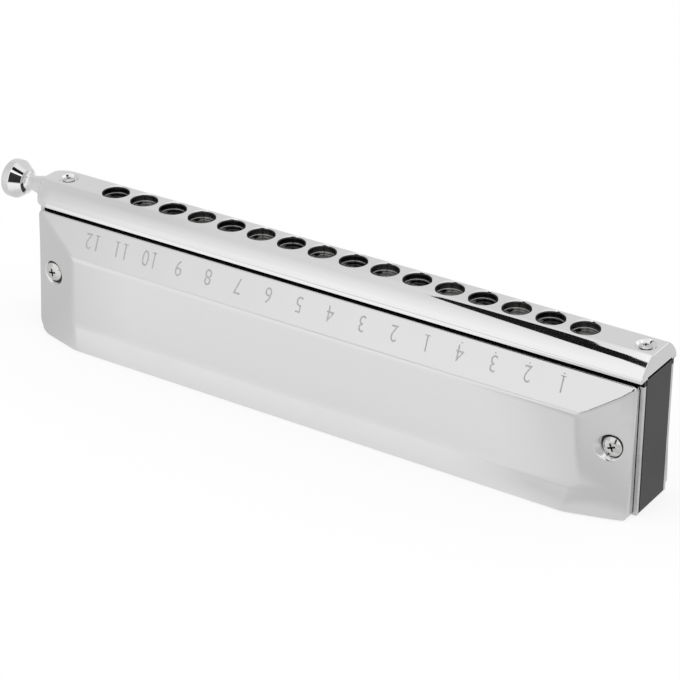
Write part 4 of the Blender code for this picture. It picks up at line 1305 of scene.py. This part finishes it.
@dataclass
class Screw:
    """A turned screw with a low domed head and a cross recess, made pointing up."""

    name: str
    node: str
    place: Matrix
    head: float = 2.65 * MM
    head_height: float = 1.1 * MM
    crown: tuple[float, float, float] = (0.62, 0.9, 1.2)
    dome_low: float = 0.32
    dome_round: float = 0.2
    under_round: float = 0.02
    shank: float = 0.9 * MM
    tip_round: float = 0.3
    length: float = 18.84 * MM
    drive: float = 1.6 * MM
    drive_width: float = 0.36 * MM
    drive_depth: float = 0.6 * MM
    drive_taper: float = 0.6
    sleeve: float = 0.0
    sleeve_top: float = -0.3 * MM
    sleeve_steps: int = 32
    cut_turn: float = 0.6
    edge_turn: float = 0.55
    edge_share: float = 0.96
    steps: int = 64

    def build(self) -> None:
        """Turn the screw, cut its recess and seat it."""
        piece = new_piece(self.name, self.profile().turned(self.steps))
        if self.sleeve:
            bore = [(0.0, 0.0, z) for z in (-self.length - OVERRUN, self.sleeve_top)]
            carve(piece, add_rod(bmesh.new(), *bore, self.sleeve, self.sleeve_steps))
        carve(piece, self.recess())
        shade(piece)
        seat(piece, Carrier.INSTRUMENT, SCREW_NICKEL, [self.node])
        self.paint_recess_shade(piece)
        piece.data.transform(self.place)

    def paint_recess_shade(self, piece: Object) -> None:
        """Give the recess and the head's edge a dark dull plate: painted shade and reflection.

        Args:
            piece: The dressed screw, before it is placed.
        """
        piece.data.materials.append(PAINTED_SHADE_NICKEL.material())
        for face in piece.data.polygons:
            x, y, z = face.center
            reach = math.hypot(x, y)
            cut = face.normal.z < self.cut_turn or z < self.head_height - self.drive_depth / 2
            edge = reach > self.head * self.edge_share and abs(face.normal.z) < self.edge_turn
            if z > 0.0 and (reach < self.drive and cut or edge):
                face.material_index = 1

    def profile(self) -> Outline:
        """Draw the screw's outline from its crown down.

        Returns:
            The outline.
        """
        reach, high, rounding = self.crown
        corners = [
            Corner(0.0, self.head_height),
            Corner(self.head * reach, self.head_height * high, self.head * rounding),
            Corner(self.head, self.head_height * self.dome_low, self.head * self.dome_round),
            Corner(self.head, 0.0, self.head * self.under_round),
            Corner(self.shank, 0.0),
            Corner(self.shank, -self.length, self.shank * self.tip_round),
            Corner(0.0, -self.length),
        ]
        return Outline(corners, RADIAL)

    def recess(self) -> BMesh:
        """Make the tapered cross that a screwdriver fits.

        Returns:
            The tool.
        """
        floor, top = self.head_height - self.drive_depth, self.head_height + OVERRUN
        long, short = self.drive, self.drive_width
        arms = [box((-x, -y, floor), (x, y, top)) for x, y in ((long, short), (short, long))]
        tool = joined(*arms)
        taper = (self.drive_taper, self.drive_taper, 1.0)
        for vert in tool.verts:
            if vert.co.z < self.head_height:
                bmesh.ops.scale(tool, verts=[vert], vec=taper)
        return tool


@dataclass
class Fasteners:
    """The mouthpiece screws, and the cover bolts with their sleeve nuts."""

    screw_seat: float = 41.4 * MM
    bolt_seat: float = 10.12 * MM
    turns: tuple[float, float] = (math.radians(8.0), math.radians(22.0))

    def build(self) -> None:
        """Build each screw, bolt and nut."""
        for end, turn in zip(End, self.turns):
            tag = end.name.lower()
            spot = Matrix.Translation((end.value * SCREW_X, 0.0, self.screw_seat))
            Screw(
                "mouth_screw_" + tag,
                "mouthpiece_screw_" + tag,
                spot @ Matrix.Rotation(turn, 4, "Z"),
                head=1.7 * MM,
                head_height=0.6 * MM,
                dome_round=0.12,
                shank=0.8 * MM,
                length=14.6 * MM,
                drive=1.0 * MM,
                drive_width=0.24 * MM,
                drive_depth=0.5 * MM,
            ).build()
            bolt, nut = "cover_bolt_" + tag, "cover_nut_" + tag
            Screw(bolt + "_turned", bolt, self.outward(end, Side.FRONT, turn)).build()
            Screw(
                nut + "_turned",
                nut,
                self.outward(end, Side.REAR, turn),
                shank=1.5 * MM,
                length=6.0 * MM,
                sleeve=1.2 * MM,
            ).build()

    def outward(self, end: End, side: Side, turn: float) -> Matrix:
        """Give the place of a bolt or nut that points out of a cover.

        Args:
            end: The cover's end.
            side: The cover.
            turn: How far the recess is turned.

        Returns:
            The place.
        """
        spot = (end.value * BOLT_X, side.value * self.bolt_seat, BOLT_Z)
        out = Matrix.Rotation(-side.value * math.pi / 2, 4, "X")
        return Matrix.Translation(spot) @ out @ Matrix.Rotation(-side.value * turn, 4, "Z")


@dataclass
class SlideSpring:
    """The hairpin spring as it stands; the real free leg leans over as the slide goes in."""

    coil_end: tuple[float, float, float] = (-81.55 * MM, 1.2 * MM, 32.8 * MM)
    slide_end: tuple[float, float, float] = (-81.55 * MM, 1.2 * MM, 39.2 * MM)
    weld: float = 0.005 * MM

    def build(self) -> None:
        """Copy the wire, weld its triangles, shade and dress it."""
        mesh = bmesh.new()
        mesh.from_mesh(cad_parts["slide_spring"].data)
        bmesh.ops.remove_doubles(mesh, verts=mesh.verts, dist=self.weld)
        bmesh.ops.recalc_face_normals(mesh, faces=mesh.faces)
        piece = new_piece("hairpin_spring", mesh)
        shade(piece)
        WIRE_STEEL.dress(piece)
        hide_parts("slide_spring")
        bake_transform(piece)
        LOG.info("%s: %d faces", piece.name, len(piece.data.polygons))


@dataclass
class CarriedParts:
    """The CAD nodes whose shape stays, each given its real surface."""

    finishes: tuple[tuple[str, Finish], ...] = (
        ("comb", COMB_ABS),
        ("backing_plate", SLIDE_STEEL),
        ("slide_rivet", SCREW_NICKEL),
        ("slide_bumper", SLEEVE_RUBBER),
        ("slide", SLIDE_STEEL),
        ("spring_post", SCREW_NICKEL),
        ("reed_plate", PLATE_METAL),
        ("plate_screw", SCREW_NICKEL),
        ("reed", REED_METAL),
    )

    def dress(self) -> None:
        """Dress every CAD node that still shows, by the first start that its name has."""
        for name, node in sorted(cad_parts.items()):
            if not node.hide_render:
                finish = next(f for start, f in self.finishes if name.startswith(start))
                finish.dress(node)
                LOG.info("%s: %s", name, finish.name)


# Studio


def split_by_ray(tree: NodeTree, output: str, seen: Node, mirrored: Node, lit: Node) -> None:
    """Show one shader to the camera, one to mirrors and glass, and one to the rest.

    Args:
        tree: The node tree.
        output: The kind of node that ends it.
        seen: The shader for the camera.
        mirrored: The shader for glossy and transmission rays.
        lit: The shader for the other rays.
    """
    path = add_node(tree, "LightPath").outputs
    rays = {0: path["Is Glossy Ray"], 1: path["Is Transmission Ray"]}
    metal = add_node(tree, "Math", {"operation": "MAXIMUM"}, rays)
    inner = add_node(tree, "MixShader", None, {0: metal, 1: lit, 2: mirrored})
    outer = add_node(tree, "MixShader", None, {0: path["Is Camera Ray"], 1: inner, 2: seen})
    add_node(tree, output, None, {"Surface": outer})


@dataclass
class Camera:
    """The camera at the photograph's viewing angle."""

    azimuth: float = math.radians(33.7493)
    elevation: float = math.radians(27.4892)
    roll: float = math.radians(-0.0148)
    eye: tuple[float, float, float] = (316.558 * MM, -472.802 * MM, 314.220 * MM)
    focal_pixels: float = 2519.19
    picture_pixels: int = 680
    sensor: float = 36.0
    clip_start: float = 0.01

    def build(self) -> None:
        """Place the camera and make it the scene's."""
        lens = bpy.data.cameras.new("camera")
        lens.sensor_width = self.sensor
        lens.lens = self.focal_pixels / self.picture_pixels * self.sensor
        lens.clip_start = self.clip_start
        camera = bpy.data.objects.new("camera", lens)
        level = math.cos(self.elevation)
        x, y = math.sin(self.azimuth) * level, -math.cos(self.azimuth) * level
        back = Vector((x, y, math.sin(self.elevation)))
        right = Vector((0.0, 0.0, 1.0)).cross(back).normalized()
        turn = Matrix((right, back.cross(right), back)).transposed().to_4x4()
        roll = Matrix.Rotation(self.roll, 4, "Z")
        camera.matrix_world = Matrix.Translation(self.eye) @ turn @ roll
        bpy.context.scene.collection.objects.link(camera)
        bpy.context.scene.camera = camera


@dataclass
class Floor:
    """Pale paper: white to the camera but for the soft shadow, graded in metal."""

    size: float = 6.0
    drop: float = -0.2 * MM
    colour: str = "#F2F2F2"
    lit: float = 0.22
    lamp_share: float = 0.95
    full_white: float = 1.01
    pool: Pairs = (
        (0.27, 0.745), (0.295, 0.79), (0.325, 0.9), (0.346, 0.945), (0.37, 1.0), (0.665, 1.0),
        (0.693, 0.95), (0.713, 0.87), (0.735, 0.86), (0.755, 0.69), (0.8, 0.75), (0.855, 0.81),
        (0.92, 0.7),
    )
    pool_lean: float = 0.85
    pool_light: float = 0.55
    pool_reach: tuple[float, float] = (-192.0 * MM, 208.0 * MM)
    patch: Pairs = ((0.12, 0.0), (0.3, 1.0), (0.46, 1.0), (0.53, 0.0))
    patch_reach: tuple[float, float] = (-300.0 * MM, 300.0 * MM)
    patch_far: tuple[float, float] = (-80.0 * MM, -110.0 * MM)
    patch_tone: float = 1.06

    def build(self) -> None:
        """Lay the floor."""
        mesh = bmesh.new()
        bmesh.ops.create_grid(mesh, x_segments=4, y_segments=4, size=self.size / 2)
        floor = new_piece("studio_floor", mesh)
        floor.data.transform(Matrix.Translation((0.0, 0.0, self.drop)))
        floor.data.materials.append(self.paper())

    def paper(self) -> Material:
        """Make the paper that the floor is covered with.

        Returns:
            The material.
        """
        material = bpy.data.materials.new("studio_paper")
        material.use_nodes = True
        tree = material.node_tree
        tree.nodes.clear()
        plain = add_node(tree, "BsdfDiffuse", {"Color": linear(self.colour)})
        dim = add_node(tree, "BsdfDiffuse", {"Color": grey(self.lit)})
        rest = self.full_white - self.lit * self.lamp_share
        glow = add_node(tree, "Emission", {"Strength": rest})
        white = add_node(tree, "AddShader", None, {0: dim, 1: glow})
        part = {"data_type": "RGBA", "blend_type": "MULTIPLY", 0: 1.0, 7: grey(self.pool_light)}
        half = add_node(tree, "Mix", part, {6: self.mirrored_tones(tree)})
        pale = add_node(tree, "BsdfDiffuse", None, {"Color": half})
        gleam = add_node(tree, "Emission", {"Strength": 1.0}, {"Color": half})
        mirrored = add_node(tree, "AddShader", None, {0: pale, 1: gleam})
        split_by_ray(tree, "OutputMaterial", white, mirrored, plain)
        return material

    def mirrored_tones(self, tree: NodeTree) -> Node:
        """Draw the tones that metal sees: a leaning pool, and a paler patch far in front.

        Args:
            tree: The paper's nodes.

        Returns:
            The node that gives them.
        """
        place = add_node(tree, "TexCoord").outputs["Object"]
        axes = add_node(tree, "SeparateXYZ", None, {0: place}).outputs
        off = add_node(tree, "Math", {"operation": "ABSOLUTE"}, {0: axes["Y"]})
        slant = {"operation": "MULTIPLY_ADD", 1: self.pool_lean}
        lean = add_node(tree, "Math", slant, {0: off, 2: axes["X"]})
        along, inward, far = [
            add_node(tree, "MapRange", dict(zip(RANGE, reach)), {"Value": source})
            for reach, source in (
                (self.pool_reach, lean),
                (self.patch_reach, axes["X"]),
                (self.patch_far, axes["Y"]),
            )
        ]
        pool = add_node(tree, "ValToRGB", {"stops": self.pool}, {"Fac": along})
        patch = add_node(tree, "ValToRGB", {"stops": self.patch}, {"Fac": inward})
        lift = add_node(tree, "Math", {"operation": "MULTIPLY"}, {0: far, 1: patch})
        settings = {"data_type": "RGBA", 7: grey(self.patch_tone)}
        return add_node(tree, "Mix", settings, {0: lift, 6: pool})


@dataclass
class Room:
    """The white room, which is graded by direction where metal sees it."""

    light: float = 0.8
    brightest: float = 1.3
    roof: Pairs = (
        (0.0, 0.57), (0.16, 0.57), (0.22, 0.63), (0.29, 0.646), (0.36, 0.67), (0.44, 0.7),
        (0.49, 0.71), (0.516, 0.8), (0.53, 0.95), (0.7, 0.95), (0.8, 0.77), (1.0, 0.77),
    )
    front: Pairs = (
        (0.0, 0.64), (0.1, 0.66), (0.16, 0.79), (0.22, 0.81), (0.29, 0.846), (0.5, 0.862),
        (1.0, 0.862),
    )
    along: tuple[float, float] = (-0.65, -0.15)
    forward: tuple[float, float] = (-0.25, -0.68)
    behind: tuple[float, float] = (0.3, 0.6)
    rear_tone: float = 0.81
    aside: tuple[float, float] = (0.4, 0.46)
    doorway: tuple[float, float] = (0.56, 0.68)
    doorway_tone: float = 0.5

    def build(self) -> None:
        """Surround the scene with the room."""
        world = bpy.data.worlds.new("white_room")
        bpy.context.scene.world = world
        world.use_nodes = True
        tree = world.node_tree
        tree.nodes.clear()
        white = {"Color": grey(1.0)}
        plain = add_node(tree, "Background", white | {"Strength": self.light})
        seen = add_node(tree, "Background", white | {"Strength": 1.0})
        tones = {"Color": self.walls(tree)}
        graded = add_node(tree, "Background", {"Strength": self.brightest}, tones)
        split_by_ray(tree, "OutputWorld", seen, graded, plain)

    def walls(self, tree: NodeTree) -> Node:
        """Draw the tones that metal sees, by direction.

        Args:
            tree: The world's nodes.

        Returns:
            The node that gives them.
        """
        way = add_node(tree, "TexCoord").outputs["Generated"]
        axes = add_node(tree, "SeparateXYZ", None, {0: way}).outputs
        along, forward, behind, aside, doorway = [
            add_node(tree, "MapRange", dict(zip(RANGE, spans)), {"Value": axes[axis]})
            for axis, spans in (
                ("X", self.along),
                ("Y", self.forward),
                ("Y", self.behind),
                ("X", self.aside),
                ("X", (*self.doorway, 1.0, self.doorway_tone)),
            )
        ]
        roof, front = [
            add_node(tree, "ValToRGB", {"stops": stops}, {"Fac": along})
            for stops in (self.roof, self.front)
        ]
        colours = {"data_type": "RGBA"}
        ahead = add_node(tree, "Mix", colours, {0: forward, 6: roof, 7: front})
        rear = colours | {7: grey(self.rear_tone / self.brightest)}
        back = add_node(tree, "Mix", rear, {0: behind, 6: ahead})
        return add_node(tree, "Mix", colours, {0: aside, 6: back, 7: doorway})


@dataclass
class Softbox:
    """A square diffused lamp that looks at the instrument."""

    name: str
    place: tuple[float, float, float]
    radiance: float
    aim: tuple[float, float, float] = (0.0, 0.0, 20.0 * MM)
    size: float = 0.6

    def build(self) -> None:
        """Hang the lamp, out of the camera's sight and out of the metal's."""
        lamp = bpy.data.lights.new(self.name, "AREA")
        lamp.shape = "SQUARE"
        lamp.size = self.size
        lamp.energy = self.radiance * math.pi * self.size * self.size
        item = bpy.data.objects.new(self.name, lamp)
        item.location = self.place
        way = Vector(self.aim) - Vector(self.place)
        item.rotation_euler = way.to_track_quat("-Z", "Y").to_euler()
        item.visible_camera = False
        item.visible_glossy = False
        bpy.context.scene.collection.objects.link(item)


@dataclass
class Flag:
    """A dark card that only the metal sees, with its outline in millimetres."""

    name: str
    corners: Pairs
    place: Matrix
    velvet: str = "#050505"

    def build(self) -> None:
        """Cut the card and hang it."""
        points = [Corner(across * MM, along * MM) for across, along in self.corners]
        mesh = Outline([*points, points[0]], LEVEL).mesh
        bmesh.ops.remove_doubles(mesh, verts=mesh.verts, dist=0.01 * MM)
        bmesh.ops.edgeloop_fill(mesh, edges=mesh.edges)
        bmesh.ops.transform(mesh, matrix=self.place, verts=mesh.verts)
        card = new_piece(self.name, mesh)
        material = bpy.data.materials.new("velvet_" + self.name)
        material.use_nodes = True
        shader = material.node_tree.nodes["Principled BSDF"]
        shader.inputs["Base Color"].default_value = linear(self.velvet)
        shader.inputs["Roughness"].default_value = 1.0
        card.data.materials.append(material)
        card.visible_camera = False
        card.visible_diffuse = False
        card.visible_shadow = False


@dataclass
class Studio:
    """The camera, the white room with its floor, soft lamps and dark cards."""

    streak_height: float = 200.0 * MM
    streak: Pairs = (
        (-55, -35), (-52, -30), (-43, -10), (-28, 0), (-4, 4), (3, -13), (6, -38), (15, -45),
        (18, -55), (24, -68), (32, -130), (13, -130), (11, -101), (6, -90), (-9, -79),
        (-32, -59), (-45, -48), (-53, -38),
    )
    side_y: float = -340.0 * MM
    side: Pairs = (
        (-30, 6), (104, 6), (120, 100), (152, 234), (225, 500), (160, 500), (76, 234), (48, 100),
        (36, 22), (-30, 22),
    )
    side_velvet: str = "#2C2C2C"
    lens: Pairs = ((-35, -30), (35, -30), (35, 30), (-35, 30))

    def build(self) -> None:
        """Set the whole studio up."""
        Camera().build()
        Floor().build()
        Room().build()
        Softbox("key_softbox", (-0.35, -0.75, 0.75), 1.2).build()
        Softbox("fill_softbox", (0.8, 0.3, 0.7), 0.9).build()
        above = Matrix.Translation((0.0, 0.0, self.streak_height))
        Flag("streak_card", self.streak, above).build()
        side = Matrix.Translation((0.0, self.side_y, 0.0)) @ Matrix.Rotation(math.pi / 2, 4, "X")
        Flag("side_card", self.side, side, self.side_velvet).build()
        Flag("lens_card", self.lens, bpy.context.scene.camera.matrix_world).build()
        bpy.context.scene.view_settings.view_transform = "Standard"


def main() -> None:
    """Build the studio and every sub-assembly in order."""
    logging.basicConfig(level=logging.INFO, format="%(name)s %(message)s")
    front = CoverShell(Side.FRONT)
    builders: list[tuple[str, Callable[[], None]]] = [
        ("studio", Studio().build),
        ("mouthpiece", Mouthpiece().build),
        ("slide guide", SlideGuide().build),
        ("button", Button().build),
        ("front cover", front.build),
        ("rear cover", CoverShell(Side.REAR).build),
        ("hole numbers", HoleNumbers(front).build),
        ("fasteners", Fasteners().build),
        ("slide spring", SlideSpring().build),
        ("carried parts", CarriedParts().dress),
    ]
    for title, builder in builders:
        builder()
        LOG.info("%s done", title)


if __name__ == "__main__":
    main()
